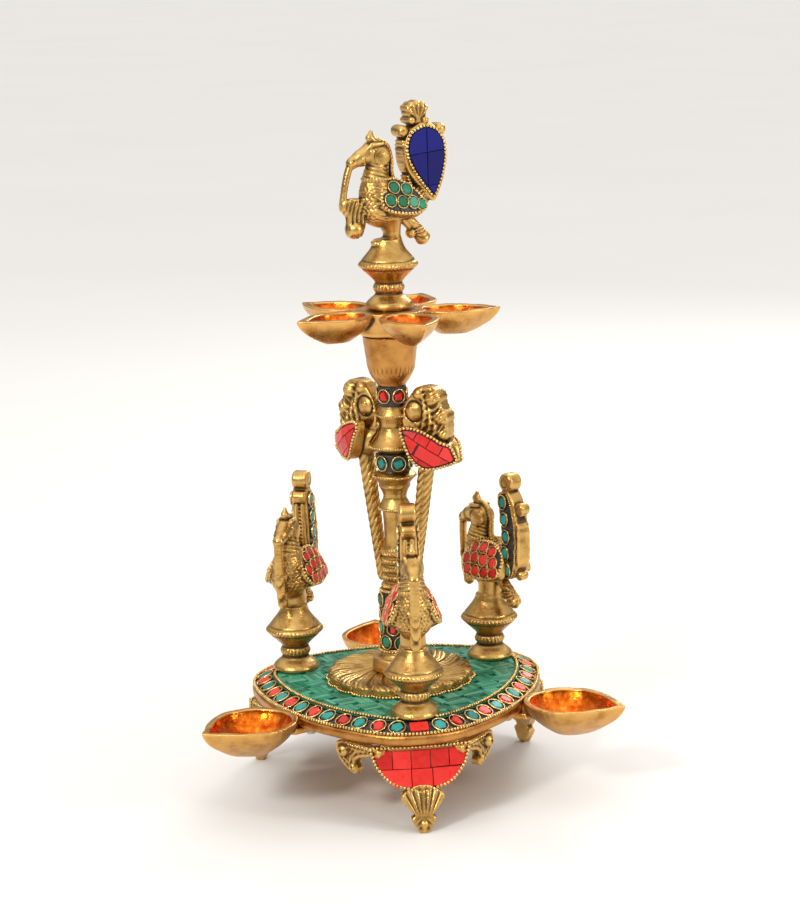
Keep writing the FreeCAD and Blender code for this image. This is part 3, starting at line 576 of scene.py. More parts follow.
    def skin(self):
        """The surface as points and quads, with each point's hollowness from -1 to 1."""
        f = self.field
        inside = f < 0
        cells = np.array(f.shape) - 1
        corner_sum = np.zeros(tuple(cells), np.int8)
        offsets = [(i, j, k) for i in (0, 1) for j in (0, 1) for k in (0, 1)]
        for i, j, k in offsets:
            corner_sum += inside[i : cells[0] + i, j : cells[1] + j, k : cells[2] + k]
        active = (corner_sum > 0) & (corner_sum < 8)
        index = np.argwhere(active)
        number = np.full(tuple(cells), -1, np.int64)
        number[active] = np.arange(len(index))
        total = np.zeros((len(index), 3))
        hits = np.zeros(len(index))
        values = {o: f[tuple((index + o).T)] for o in offsets}
        for a in offsets:
            for axis in range(3):
                if a[axis]:
                    continue
                b = tuple(v + (1 if k == axis else 0) for k, v in enumerate(a))
                fa, fb = values[a], values[b]
                crossed = (fa < 0) != (fb < 0)
                share = np.where(crossed, fa / np.where(crossed, fa - fb, 1.0), 0.0)
                place = np.array(a, dtype=float)[None, :] + share[:, None] * np.eye(3)[axis]
                total += np.where(crossed[:, None], place, 0.0)
                hits += crossed
        points = self.low + self.step * (index + total / hits[:, None])
        faces = []
        for axis in range(3):
            others = [k for k in range(3) if k != axis]
            near = [slice(None)] * 3
            far = [slice(None)] * 3
            near[axis], far[axis] = slice(0, -1), slice(1, None)
            start, end = inside[tuple(near)], inside[tuple(far)]
            crossing = np.argwhere(start != end)
            keep = np.all((crossing[:, others] > 0) & (crossing[:, others] < cells[others]), axis=1)
            crossing = crossing[keep]
            steps = [np.zeros(3, int) for _ in range(4)]
            steps[1][others[0]] = -1
            steps[2][others[0]] = steps[2][others[1]] = -1
            steps[3][others[1]] = -1
            quad = np.stack([number[tuple((crossing + s).T)] for s in steps], axis=1)
            outer = start[tuple(crossing.T)]
            flip = ~outer if axis != 1 else outer
            quad[flip] = quad[flip][:, ::-1]
            faces.append(quad)
        return points, np.vstack(faces), self.hollowness(points)

    def hollowness(self, points):
        """How far each surface point sits in a hollow (towards 1) or on a ridge (towards -1)."""
        f = np.clip(self.field, -1.5, 1.5)
        size = 2
        for axis in range(3):
            for _ in range(2):
                pads = [(size + 1, size) if k == axis else (0, 0) for k in range(3)]
                sums = np.cumsum(np.pad(f, pads, "edge"), axis=axis, dtype=np.float32)
                take, drop = [slice(None)] * 3, [slice(None)] * 3
                take[axis], drop[axis] = slice(2 * size + 1, None), slice(0, -2 * size - 1)
                f = (sums[tuple(take)] - sums[tuple(drop)]) / (2 * size + 1)
        place = (points - self.low) / self.step
        corner = np.clip(np.floor(place).astype(int), 0, np.array(f.shape) - 2)
        share = place - corner
        level = np.zeros(len(points))
        for i in (0, 1):
            for j in (0, 1):
                for k in (0, 1):
                    weight = (
                        (share[:, 0] if i else 1 - share[:, 0])
                        * (share[:, 1] if j else 1 - share[:, 1])
                        * (share[:, 2] if k else 1 - share[:, 2])
                    )
                    level += weight * f[corner[:, 0] + i, corner[:, 1] + j, corner[:, 2] + k]
        return np.clip(-level * 2.4, -1, 1)


# ------------------------------------------------------------------ materials


def shader(name):
    """A new material, its node tree and its main shader."""
    material = bpy.data.materials.new(name)
    material.use_nodes = True
    tree = material.node_tree
    return material, tree, tree.nodes["Principled BSDF"]


def plug(tree, target, **inputs):
    """Sets a node's inputs by name, each linked to an output or given a number, vector or colour."""
    for name, value in inputs.items():
        fill(tree, target.inputs[name.replace("_", " ")], value)


def fill(tree, socket, value):
    if isinstance(value, bpy.types.NodeSocket):
        tree.links.new(value, socket)
    else:
        socket.default_value = (*value, 1.0) if socket.type == "RGBA" else value


def new_node(tree, kind, output, **inputs):
    """A new node with its inputs plugged, and one of its outputs."""
    made = tree.nodes.new("ShaderNode" + kind)
    plug(tree, made, **inputs)
    return made.outputs[output]


def noise(tree, scale, detail=4.0, roughness=0.55):
    """Noise in object space. The scale is in features per metre."""
    place = new_node(tree, "TexCoord", "Object")
    return new_node(tree, "TexNoise", "Fac", Vector=place, Scale=scale, Detail=detail, Roughness=roughness)


def ramp(tree, source, stops):
    """A colour ramp over a value, from (position, colour) stops."""
    made = tree.nodes.new("ShaderNodeValToRGB")
    elements = made.color_ramp.elements
    while len(elements) < len(stops):
        elements.new(0.5)
    for element, (position, colour) in zip(elements, stops):
        element.position = position
        element.color = (*colour, 1.0)
    plug(tree, made, Fac=source)
    return made.outputs["Color"]


def mix(tree, share, first, second):
    """Two colours mixed by a share."""
    made = tree.nodes.new("ShaderNodeMix")
    made.data_type = "RGBA"
    for index, value in ((0, share), (6, first), (7, second)):
        fill(tree, made.inputs[index], value)
    return made.outputs[2]


def curve(tree, source, low, high, to_low=0.0, to_high=1.0):
    """A value mapped from one range to another, held at its ends."""
    ends = dict(From_Min=low, From_Max=high, To_Min=to_low, To_Max=to_high)
    return new_node(tree, "MapRange", "Result", Value=source, **ends)


def math_node(tree, operation, first, second):
    made = tree.nodes.new("ShaderNodeMath")
    made.operation = operation
    fill(tree, made.inputs[0], first)
    fill(tree, made.inputs[1], second)
    return made.outputs["Value"]


def times(tree, first, second):
    return math_node(tree, "MULTIPLY", first, second)


def attribute(tree, name):
    made = tree.nodes.new("ShaderNodeAttribute")
    made.attribute_name = name
    return made.outputs["Fac"]


def bumped(tree, main, height, strength, distance):
    normal = new_node(tree, "Bump", "Normal", Strength=strength, Distance=distance, Height=height)
    plug(tree, main, Normal=normal)


def crevice(tree, distance):
    """How closed in a point is, from 0 in the open to 1 deep in a crevice, used to paint shade into a colour.
    """
    made = tree.nodes.new("ShaderNodeAmbientOcclusion")
    made.samples = 6
    made.only_local = True
    plug(tree, made, Distance=distance)
    return curve(tree, made.outputs["AO"], 0.95, 0.35)


def brass(name, light, deep, patina_and_shade_colour, roughness=0.23, coat=None):
    """Cast brass: cloudy golden metal, patinated brown in its hollows with painted shade from occlusion
    darkening its crevices, bright worn edges.
    """
    material, tree, main = shader(name)
    cloud = noise(tree, 120.0, 5.0)
    fine = noise(tree, 900.0, 3.0)
    base = ramp(tree, cloud, ((0.30, deep), (0.55, light), (0.78, tuple(c * 1.12 for c in light))))
    base = mix(tree, curve(tree, fine, 0.62, 0.78, 0.0, 0.35), base, deep)
    hollow = attribute(tree, "hollow")
    worn = curve(tree, hollow, -0.10, -0.55)
    base = mix(tree, times(tree, worn, 0.55), base, tuple(min(c * 1.35, 1) for c in light))
    # The hollows' patinated brown and painted shade from occlusion in the crevices darken the colour
    # together.
    patina_and_shade = math_node(tree, "MAXIMUM", curve(tree, hollow, 0.03, 0.32), crevice(tree, 0.0024))
    patina_and_shade = times(tree, patina_and_shade, curve(tree, cloud, 0.25, 0.60, 0.65, 1.0))
    base = mix(tree, patina_and_shade, base, patina_and_shade_colour)
    rough = curve(tree, cloud, 0.3, 0.75, roughness, roughness + 0.16)
    rough = math_node(tree, "ADD", rough, times(tree, patina_and_shade, 0.28))
    metal = curve(tree, patina_and_shade, 0.2, 1.0, 1.0, 0.55)
    if coat is not None:
        painted = attribute(tree, "coat")
        edge = curve(tree, math_node(tree, "ADD", painted, times(tree, fine, 0.3)), 0.55, 0.75)
        streaks = noise(tree, 260.0, 4.0, 0.6)
        lacquer = ramp(tree, streaks, ((0.30, coat[0]), (0.52, coat[1]), (0.75, coat[2])))
        base = mix(tree, edge, base, lacquer)
        rough = math_node(tree, "SUBTRACT", rough, times(tree, edge, 0.14))
    plug(tree, main, Base_Color=base, Roughness=rough, Metallic=metal)
    grain = math_node(tree, "ADD", noise(tree, 420.0, 5.0, 0.62), times(tree, fine, 0.45))
    bumped(tree, main, grain, 0.85, 0.00026)
    return material


def stone(name, dark, middle, light, roughness=0.24, vein=0.5, shine=0.5):
    """Polished stone chips: each chip its own tone, with soft streaks, fine pits and painted shade where they
    sit closed in.
    """
    material, tree, main = shader(name)
    tone = attribute(tree, "tone")
    veins = noise(tree, 330.0, 6.0, 0.6)
    level = math_node(tree, "ADD", times(tree, tone, 1 - vein), times(tree, veins, vein))
    colour = ramp(tree, level, ((0.16, dark), (0.48, middle), (0.86, light)))
    # Painted shade: occlusion darkens the chips where they sit deep between rings and beds.
    crevice_shade = crevice(tree, 0.0012)
    colour = mix(tree, times(tree, crevice_shade, 0.6), colour, tuple(c * 0.25 for c in dark))
    rough = curve(tree, veins, 0.3, 0.7, roughness, roughness + 0.18)
    plug(tree, main, Base_Color=colour, Roughness=rough, Specular_IOR_Level=shine)
    bumped(tree, main, noise(tree, 1500.0, 3.0), 0.25, 0.00012)
    return material


# The third colour is the patinated brown of the hollows, also used as painted shade in the crevices.
GOLD = ((0.60, 0.37, 0.115), (0.36, 0.195, 0.050), (0.040, 0.020, 0.008))
BRASS = brass("cast_brass", *GOLD)
COPPERY = ((0.40, 0.050, 0.004), (0.78, 0.15, 0.010), (1.0, 0.34, 0.03))
CUP_BRASS = brass("cup_brass", (0.66, 0.36, 0.105), (0.43, 0.19, 0.045), GOLD[2], 0.24, COPPERY)
RIM_BRASS = brass("rim_brass", (0.56, 0.27, 0.070), (0.36, 0.145, 0.034), GOLD[2], 0.26)
WIRE = brass("brass_wire", (0.84, 0.60, 0.24), (0.56, 0.34, 0.10), (0.06, 0.03, 0.012), 0.18)
STEEL = brass("plain_steel", (0.46, 0.44, 0.41), (0.30, 0.28, 0.26), (0.05, 0.04, 0.03), 0.34)
CORAL = stone("coral_stone", (0.46, 0.008, 0.006), (0.68, 0.016, 0.012), (0.80, 0.040, 0.028), 0.24, 0.45)
TURQUOISE = stone("turquoise_stone", (0.003, 0.12, 0.12), (0.008, 0.27, 0.25), (0.035, 0.42, 0.38), 0.30)
MALACHITE = stone("green_stone", (0.005, 0.12, 0.062), (0.013, 0.24, 0.125), (0.10, 0.45, 0.30), 0.32, 0.42)
EMERALD = stone("emerald_chip", (0.002, 0.05, 0.025), (0.004, 0.14, 0.07), (0.02, 0.32, 0.18))
LAPIS = stone(
    "lapis_stone", (0.004, 0.004, 0.085), (0.007, 0.008, 0.15), (0.013, 0.015, 0.22), 0.50, shine=0.22
)


def lac_material():
    """Black setting lac: glossy, lumpy, with a dusty bloom."""
    material, tree, main = shader("black_lac")
    cloud = noise(tree, 500.0, 5.0)
    colour = ramp(tree, cloud, ((0.35, (0.008, 0.007, 0.007)), (0.70, (0.045, 0.042, 0.040))))
    plug(tree, main, Base_Color=colour, Roughness=curve(tree, cloud, 0.3, 0.7, 0.22, 0.5))
    bumped(tree, main, noise(tree, 900.0, 4.0), 0.6, 0.0003)
    return material


LAC = lac_material()
# Each finish: its material, its slot in the record, and whether its pieces are shaded smooth.
FINISHES = {
    "wire": (WIRE, "brass_wire", True), "coral": (CORAL, "coral_stone", False),
    "turquoise": (TURQUOISE, "turquoise_stone", False), "malachite": (MALACHITE, "green_stone", False),
    "emerald": (EMERALD, "green_stone", False), "lapis": (LAPIS, "lapis_stone", False),
    "lac": (LAC, "black_lac", False), "smooth_lac": (LAC, "black_lac", True)
}


# ------------------------------------------------------------------ plate


PLATE_CORNER_ARC = 45.0
PLATE_SIDE = 71.0
PLATE_CORNER = 83.0


def plate_outline(inset, count=360):
    """The plate's rounded triangle as points at even angles, starting at the front corner."""
    shift = PLATE_CORNER - PLATE_CORNER_ARC
    gap = PLATE_SIDE - PLATE_CORNER_ARC
    side_shift = (shift**2 - gap**2) / (2 * gap - shift)
    side_radius = PLATE_SIDE + side_shift - inset
    corner_radius = PLATE_CORNER_ARC - inset
    lean = np.array([shift + side_shift * 0.5, side_shift * math.sin(math.radians(60.0))])
    touch = np.array([shift, 0.0]) + lean / np.linalg.norm(lean) * corner_radius
    limit = math.degrees(math.atan2(touch[1], touch[0]))
    points = []
    for i in range(count):
        angle = 360.0 * i / count
        within = (angle + 60.0) % 120.0 - 60.0
        turn = math.radians(within)
        away = math.radians(60.0 - abs(within))
        if abs(within) < limit:
            reach = shift * math.cos(turn) + math.sqrt(corner_radius**2 - (shift * math.sin(turn)) ** 2)
        else:
            reach = -side_shift * math.cos(away) + math.sqrt(
                side_radius**2 - (side_shift * math.sin(away)) ** 2
            )
        points.append(out(angle, reach)[:2])
    return np.array(points)


BORDER_OUT, BORDER_IN = 2.2, 11.5


def mosaic_height(x, y):
    """The mosaic's top: nearly flat under the birds, crowned towards the lotus."""
    radius = math.hypot(x, y)
    return MOSAIC_TOP - 0.1 + 0.9 * min(1.0, max(0.0, (58.0 - radius) / 20.0))


def build_plate():
    levels = (
        (6.0, PLATE_LOW + 2.4), (4.2, PLATE_LOW + 0.5), (3.0, PLATE_LOW), (1.2, PLATE_LOW + 0.1),
        (0.35, PLATE_LOW + 0.7), (0.0, PLATE_LOW + 1.9), (0.05, PLATE_TOP - 1.6), (0.5, PLATE_TOP - 0.5),
        (1.4, PLATE_TOP), (4.0, PLATE_TOP)
    )
    points = []
    for inset, z in levels:
        ring = plate_outline(inset)
        wave = 0.10 * np.sin(np.arange(len(ring)) * 0.21) + 0.07 * np.sin(np.arange(len(ring)) * 0.57)
        points.append(np.column_stack([ring, z + wave * (0.2 if inset > 1 else 1.0)]))
    count = len(points[0])
    faces = grid_faces(len(levels), count)
    stacked = np.vstack(points)
    faces.append(tuple(reversed(range(count))))
    faces.append(tuple((len(levels) - 1) * count + j for j in range(count)))
    piece = cast("plate_casting", "base", RIM_BRASS, stacked, faces, "base_plate")
    piece.data.polygons[len(faces) - 1].use_smooth = False
    piece.data.polygons[len(faces) - 2].use_smooth = False

    rows = []
    for i in range(9):
        share = i / 8.0
        ring = plate_outline(BORDER_OUT + (BORDER_IN - BORDER_OUT) * share)
        z = PLATE_TOP + 4.0 * share - (0.6 if i in (0, 8) else 0.0)
        lumps = 0.12 * rng.normal(size=count)
        lumps = (lumps + np.roll(lumps, 1) + np.roll(lumps, 2)) / 2
        rows.append(np.column_stack([ring, z + lumps]))
    emit("border_bed", "base", LAC, np.vstack(rows), grid_faces(9, count), ("border_lac",), "black_lac")

    wires = Pile()
    for inset, z, radius in (
        (BORDER_OUT / 2, PLATE_TOP + 0.85, 0.9), (BORDER_IN + 0.9, MOSAIC_TOP + 0.55, 0.85)
    ):
        ring = plate_outline(inset, 720)
        path = np.column_stack([ring, np.full(len(ring), z)])
        for centre in evenly(path, radius * 2.04, True):
            covered = inset > 5 and any(
                np.linalg.norm(centre[:2] - out(a, BIRD_CIRCLE)[:2]) < 12.6 for _, a in CORNERS
            )
            if not covered:
                bead(wires, centre + rng.normal(0, 0.04, 3), radius * rng.uniform(0.93, 1.05))
    emit_pile("border_beads", "base", "wire", wires, "outer_bead_wire", "inner_bead_wire")


def build_border_stones():
    """Red and turquoise chips by turns in oval rings, and a plain red bar at the front corner."""
    count = 42
    middle = plate_outline((BORDER_OUT + BORDER_IN) / 2, 720)
    stops = evenly(middle, 1.0, True)
    slope = math.atan2(4.0, BORDER_IN - BORDER_OUT)
    red, blue, rings = Pile(), Pile(), Pile()
    for i in range(count):
        index = int(round(i * len(stops) / count)) % len(stops)
        here = stops[index]
        nearby = stops[(index + 3) % len(stops)] - stops[index - 3]
        tangent = np.array([nearby[0], nearby[1], 0.0])
        tangent /= np.linalg.norm(tangent)
        away = np.array([tangent[1], -tangent[0], 0.0])
        normal = away * math.sin(slope) + np.array([0, 0, math.cos(slope)])
        centre = np.array([here[0], here[1], PLATE_TOP + 2.0])
        axes = basis(normal, np.cross(normal, tangent))
        if i == 0:
            corners = [(-3.1, -4.6), (3.1, -4.6), (3.1, 4.6), (-3.1, 4.6)]
            tile(red, corners, lambda a, b, h: centre + axes @ np.array([a, b, h]), 1.3, 0.5)
            continue
        lean = rng.uniform(-0.12, 0.12)
        half_a, half_b = rng.uniform(4.3, 4.75), rng.uniform(3.9, 4.3)
        twist = axes @ np.array(
            [[math.cos(lean), -math.sin(lean), 0], [math.sin(lean), math.cos(lean), 0], [0, 0, 1]]
        )
        oval_ring(rings, centre, twist, half_a, half_b, 0.75, 1.15)
        pile = red if i % 2 == 0 else blue
        chip(pile, centre, twist, half_a - 0.75, half_b - 0.75, 1.3, int(rng.integers(5, 9)), 0.1)
    emit_pile("border_red_chips", "base", "coral", red, "border_stones_red")
    emit_pile("border_turquoise_chips", "base", "turquoise", blue, "border_stones_turquoise")
    emit_pile("border_wire_rings", "base", "wire", rings, "border_rings")


def build_mosaic():
    """Strips of green stone laid basket-fashion, cut to the border and to the lotus."""
    walls = half_planes(plate_outline(BORDER_IN + 2.0, 60))
    pile = Pile()
    cell, lay = 11.0, math.radians(24.0)
    for i in range(-8, 9):
        for j in range(-8, 9):
            middle = np.array([i, j]) * cell + rng.uniform(-0.8, 0.8, 2)
            turn = lay + (math.pi / 2 if (i + j) % 2 else 0.0) + rng.uniform(-0.10, 0.10)
            strips = int(rng.integers(3, 5))
            width = cell / strips
            across = np.array([-math.sin(turn), math.cos(turn)])
            along = np.array([math.cos(turn), math.sin(turn)])
            for k in range(strips):
                lane = middle + across * (k + 0.5 - strips / 2) * width
                half_w, half_l = width / 2 - 0.05, cell / 2 + rng.uniform(-0.1, 0.5)
                skew = rng.uniform(-0.5, 0.5, 2)
                corners = [
                    lane + along * (-half_l + skew[0]) - across * half_w,
                    lane + along * (half_l + skew[1]) - across * half_w,
                    lane + along * (half_l - skew[1]) + across * half_w,
                    lane + along * (-half_l - skew[0]) + across * half_w
                ]
                piece = clipped(corners, walls)
                if not piece or min(np.linalg.norm(p) for p in piece) > 84:
                    continue
                if max(np.linalg.norm(p) for p in piece) < LOTUS_RADIUS - 3:
                    continue
                base = mosaic_height(*np.mean(piece, axis=0)) - 1.1
                lift = rng.uniform(0.95, 1.12)
                tile(pile, piece, lambda x, y, h: np.array([x, y, base + h]), lift, 0.12)
    emit_pile("mosaic_chips", "base", "malachite", pile, "green_mosaic")
    ring = plate_outline(BORDER_IN - 0.4, 180)
    bed = np.column_stack([ring, np.full(len(ring), MOSAIC_TOP - 0.55)])
    emit("mosaic_bed", "base", MALACHITE, bed, [tuple(range(len(ring)))], slot="green_stone", smooth=False)


def build_lotus():
    """The scalloped lotus plate with its curved flutes, and the bead line round its foot."""
    lobes = 18
    around, rings = 720, 46
    theta = np.linspace(0, 2 * math.pi, around, endpoint=False)
    cusp = np.abs(np.sin(lobes / 2.0 * theta)) ** 0.7
    rim = LOTUS_RADIUS - 1.9 + 1.8 * cusp
    rows = []
    for i in range(rings):
        share = i / (rings - 1)
        radius = 14.0 + (rim - 14.0) * share
        sweep = theta + 0.55 * (1 - share)
        flute = np.abs(np.sin(lobes / 2.0 * sweep))
        fine = np.abs(np.sin(lobes * 1.5 * sweep))
        z = LOTUS_TOP + 0.4 - 0.9 * math.sin(math.pi * min(1, share * 1.1)) ** 2
        z = z - 1.15 * (1 - flute) ** 2.5 - 0.85 * (1 - fine) ** 2.5 * share**0.3
        z = z - 1.0 * max(0.0, (share - 0.90) / 0.10) ** 2
        rows.append(ring_path(radius, z, around))
    for drop, reach in ((1.6, 1.0), (3.0, 1.003), (4.6, 1.0), (6.0, 0.985)):
        rows.append(ring_path(rim * reach, LOTUS_TOP - drop, around))
    faces = [tuple(reversed(f)) for f in grid_faces(len(rows), around)]
    cast("lotus_casting", "base", BRASS, np.vstack(rows), faces, "lotus_plate")
    string = Pile()
    bead_string(string, ring_path(rim + 0.9, MOSAIC_TOP + 1.35, around), 0.85, True)
    emit_pile("lotus_beads", "base", "wire", string)


# ------------------------------------------------------------------ stem


def stack(*runs):
    """A profile from (radius, height) runs, each smoothed on its own so the steps stay crisp."""
    found = []
    for run in runs:
        found.extend(smooth_curve(run, 6).tolist() if len(run) > 2 else [list(p) for p in run])
    return found


def fine_steps(profile, gap):
    """The same profile with points no further apart than a gap."""
    found = [profile[0]]
    for a, b in zip(profile[:-1], profile[1:]):
        length = math.hypot(b[0] - a[0], b[1] - a[1])
        parts = max(1, int(math.ceil(length / gap)))
        for k in range(1, parts + 1):
            found.append([a[0] + (b[0] - a[0]) * k / parts, a[1] + (b[1] - a[1]) * k / parts])
    return found


def stem_piece(name, node, profile, detail=None, around=200, gap=0.5, metal=BRASS):
    points, faces = lathe(fine_steps(profile, gap), around, detail)
    cast(name, "base", metal, points, faces, node)


def build_stem():
    foot = bottom_of("stem_foot")
    stem_piece(
        "foot_collar", "stem_foot",
        stack(
            [(4.2, foot + 0.02), (13.9, foot + 0.02)],
            [(14.5, foot + 0.5), (14.6, foot + 3.5), (14.4, foot + 6.6), (13.6, foot + 7.4)],
            [(12.4, foot + 7.7), (11.0, foot + 8.8), (10.6, DRUM_LOW - 0.2)],
            [(10.4, DRUM_LOW), (4.2, DRUM_LOW)]
        ), lambda theta, z: 0.06 * np.sin(5 * theta + 2.0 * z)
    )
    low, high = DRUM_LOW, DRUM_TOP
    stem_piece(
        "drum_casting", "stem_drum",
        stack(
            [(8.3, low), (9.4, low + 0.2)], [(9.7, low + 0.9), (9.4, low + 1.7), (8.4, low + 1.9)],
            [(8.4, high - 2.0), (8.9, high - 1.7)], [(9.0, high - 0.9), (8.6, high - 0.1), (7.6, high)]
        )
    )
    rope = high
    swells = []
    for k in range(5):
        z = rope + 1.4 + 4.4 * k
        swells.append([(7.1, z - 1.5), (8.1, z - 0.4), (8.3, z + 0.5), (7.9, z + 1.4), (7.1, z + 2.1)])
    column = stack(
        *swells,
        [(6.9, rope + 22.0), (6.35, rope + 24.5), (6.25, rope + 30), (6.4, rope + 36), (6.8, COLUMN_TOP)]
    )

    def column_relief(theta, z):
        ropes = np.abs(np.sin(13 * theta + 1.5 * (z - rope))) - 0.5
        beads = np.abs(np.sin(14 * theta)) - 0.5
        which = np.floor((z - rope + 0.4) / 4.4) % 2
        band = ((z > rope - 0.2) & (z < rope + 22.0)).astype(float)
        swell = np.abs(np.sin((z - rope + 0.3) * math.pi / 4.4))
        return band * swell * 0.75 * np.where(which > 0, beads, ropes)

    stem_piece("column_casting", "stem_column", column, column_relief, 260, 0.28)
    top = COLUMN_TOP
    baluster = stack(
        [(6.9, top), (8.2, top + 0.5), (8.8, top + 1.3)],
        [(8.6, top + 2.2), (7.4, top + 4.4), (6.3, top + 6.6), (6.1, top + 7.8)],
        [(6.4, top + 9.4), (7.4, top + 11.6), (8.2, top + 12.9)], [(8.35, top + 13.6), (8.1, top + 14.4)],
        [(8.5, top + 15.0), (9.8, top + 16.6), (10.9, top + 17.9)],
        [(11.3, top + 18.7), (11.1, top + 19.6), (9.4, top + 20.6), (7.9, top + 21.4)],
        [(7.9, top + 31.2), (9.4, top + 32.2), (11.6, top + 33.3)],
        [(12.75, top + 34.2), (12.6, top + 35.4), (10.6, top + 38.0), (8.4, top + 41.4), (7.1, top + 44.6)],
        [(7.0, top + 45.8), (7.5, top + 47.6), (8.6, top + 49.8)],
        [(9.1, top + 50.8), (8.9, top + 51.9), (7.7, top + 54.2), (6.7, top + 55.8)],
        [(6.6, BALUSTER_TOP - 0.3), (6.6, BALUSTER_TOP)]
    )
    stem_piece("baluster_casting", "stem_baluster", baluster, None, 220, 0.4)

    cup = BALUSTER_TOP

    def ticks(theta, z):
        band = np.exp(-(((z - cup - 8.6) / 1.9) ** 2))
        return -0.50 * band * (np.abs(np.sin(15 * theta)) < 0.36) + 0.05 * np.sin(7 * theta + z)

    stem_piece(
        "cup_casting", "tray_cup",
        stack(
            [(6.8, cup), (7.6, cup + 0.3)],
            [(8.2, cup + 1.4), (9.3, cup + 3.0), (10.7, cup + 5.2), (12.0, cup + 8.2), (12.8, cup + 12.4)],
            [(13.2, cup + 16.0), (13.9, cup + 21.0), (14.4, CUP_TOP - 0.3)], [(14.4, CUP_TOP), (4.2, CUP_TOP)]
        ), ticks, 260, 0.4, RIM_BRASS
    )
    beads = Pile()
    for radius, z, size in (
        (10.5, low + 0.75, 0.8), (9.1, high - 0.9, 0.72), (8.75, top + 1.3, 0.55), (11.25, top + 18.9, 0.62),
        (12.75, top + 34.8, 0.62), (9.05, top + 51.3, 0.55)
    ):
        bead_string(beads, ring_path(radius, z), size, True)
    emit_pile("stem_beads", "base", "wire", beads)

    lac = Pile()
    bands = (
        (9.3, low + 1.9, high - 1.9), (8.7, top + 21.6, top + 31.0), (7.4, top + 56.0, BALUSTER_TOP - 0.2)
    )
    for radius, start, end in bands:
        profile = fine_steps(
            [[radius - 0.6, start], [radius, start + 0.4], [radius, end - 0.4], [radius - 0.6, end]], 0.7
        )
        points, faces = lathe(
            profile, 120, lambda t, z: 0.08 * np.sin(9 * t + 3 * z) + 0.05 * np.sin(23 * t - 5 * z)
        )
        lac.add(points, faces)
    emit_pile("stem_lac_bands", "base", "smooth_lac", lac, "stem_lac")


def ringed_on_stem(stones, rings, angle, radius, z, half, corners):
    """One chip in a round wire ring on the stem's side."""
    normal = out(angle, 1.0)
    centre = out(angle, radius - 0.15, z)
    axes = basis(normal, (0.0, 0.0, 1.0))
    oval_ring(rings, centre, axes, half, half * 0.97, 0.6, 1.0)
    chip(stones, centre, axes, half - 0.7, half - 0.75, 1.15, corners, 0.08)


def build_stem_stones():
    green, coral, blue, red, rings = Pile(), Pile(), Pile(), Pile(), Pile()
    low, high = DRUM_LOW + 1.9, DRUM_TOP - 1.9
    rows = 4
    pitch = (high - low) / rows
    for row in range(rows):
        for i in range(7):
            angle = 26.0 * (row % 2) + 360.0 * i / 7
            z = low + pitch * (row + 0.5)
            if (i + row) % 4 == 3:
                ringed_on_stem(coral, rings, angle, 9.3, z, 3.3, 4)
            else:
                ringed_on_stem(green, rings, angle, 9.3, z, 3.75, 7)
    for i in range(6):
        ringed_on_stem(blue, rings, 8.0 + 60.0 * i, 8.7, COLUMN_TOP + 26.3, 3.9, 4)
        ringed_on_stem(red, rings, 20.0 + 60.0 * i, 7.4, BALUSTER_TOP - 5.2, 3.6, 4)
    emit_pile("drum_green_chips", "base", "emerald", green, "drum_stones_green")
    emit_pile("drum_red_chips", "base", "coral", coral, "drum_stones_red")
    emit_pile("band_turquoise_chips", "base", "turquoise", blue, "band_stones_turquoise")
    emit_pile("band_red_chips", "base", "coral", red, "band_stones_red")
    emit_pile("stem_wire_rings", "base", "wire", rings)


# ------------------------------------------------------------------ oil cups


def almond_points(tip, length, width, count=20):
    """An oil cup's outline towards -Y: a round end near the lamp and a pointed lip at its tip."""
    middle = tip - length * 0.56
    reach, back, half = length * 0.56, length * 0.44, width / 2.0
    side = []
    for i in range(count + 1):
        share = i / count
        side.append((half * (1 - share**1.75), middle + reach * share))
    heel = []
    for i in range(1, count):
        t = i / count
        heel.append((-half * math.cos(t * math.pi), middle - back * math.sin(t * math.pi)))
    left = [(-x, r) for x, r in reversed(side[:-1])]
    outline = side + left + heel
    return np.array([(x, -r) for x, r in outline])


def bowl_distance(outline, rim, depth, full):
    """Signed distance of a boat-shaped solid under an outline, drawn in towards its keel."""

    def distance(x, y, z):
        flat = polygon_distance(x[:, :, 0], y[:, :, 0], outline)[:, :, None]
        inset = full * 15.0 * np.clip((rim - z) / depth, 0, 1) ** 1.8
        return np.maximum(np.maximum((flat + inset) * 0.82, z - rim), rim - depth - z)

    return distance


def uneven(step, size, x, y, z):
    """A slow hand-made waviness."""
    return size * (
        np.sin(x * 0.31 + y * 0.17 + step) + np.sin(y * 0.43 - z * 0.37) + np.sin(x * 0.71 + z * 0.29)
    ) / 3


def diya_mesh():
    tip = DIYA_TIP - 0.5
    outline = almond_points(tip, 54.5, 44.4)
    clay = Clay((-24, -DIYA_TIP - 1, DIYA_LOW - 1), (24, -58.0, DIYA_RIM + 1), 0.42)
    depth = DIYA_RIM - DIYA_LOW
    low, high = (-23, -DIYA_TIP, DIYA_LOW), (23, -DIYA_TIP + 56, DIYA_RIM)
    clay.work(low, high, bowl_distance(outline, DIYA_RIM - 0.2, depth - 0.2, 1.0))
    clay.slab([(-8, -74), (8, -74), (8, -60), (-8, -60)], (0, 1), PLATE_LOW - 1.7, 1.7, 0.6)
    clay.slab([(-6, -79), (6, -79), (6, -71), (-6, -71)], (0, 1), PLATE_LOW + 0.6, 3.6, 1.6)
    inner = almond_points(tip - 4.6, 46.4, 38.4)
    hollow = bowl_distance(inner, DIYA_RIM + 0.4, depth - 2.4, 0.88)
    clay.work(low, (23, -DIYA_TIP + 56, DIYA_RIM + 2), hollow, 0.7, carve=True)
    clay.relief(clay.low, (24, -57, DIYA_RIM + 1), lambda x, y, z: uneven(1.0, 0.2, x, y, z))
    points, faces, hollows = clay.skin()
    return points, faces, hollows, coat_of(points, inner, DIYA_RIM)


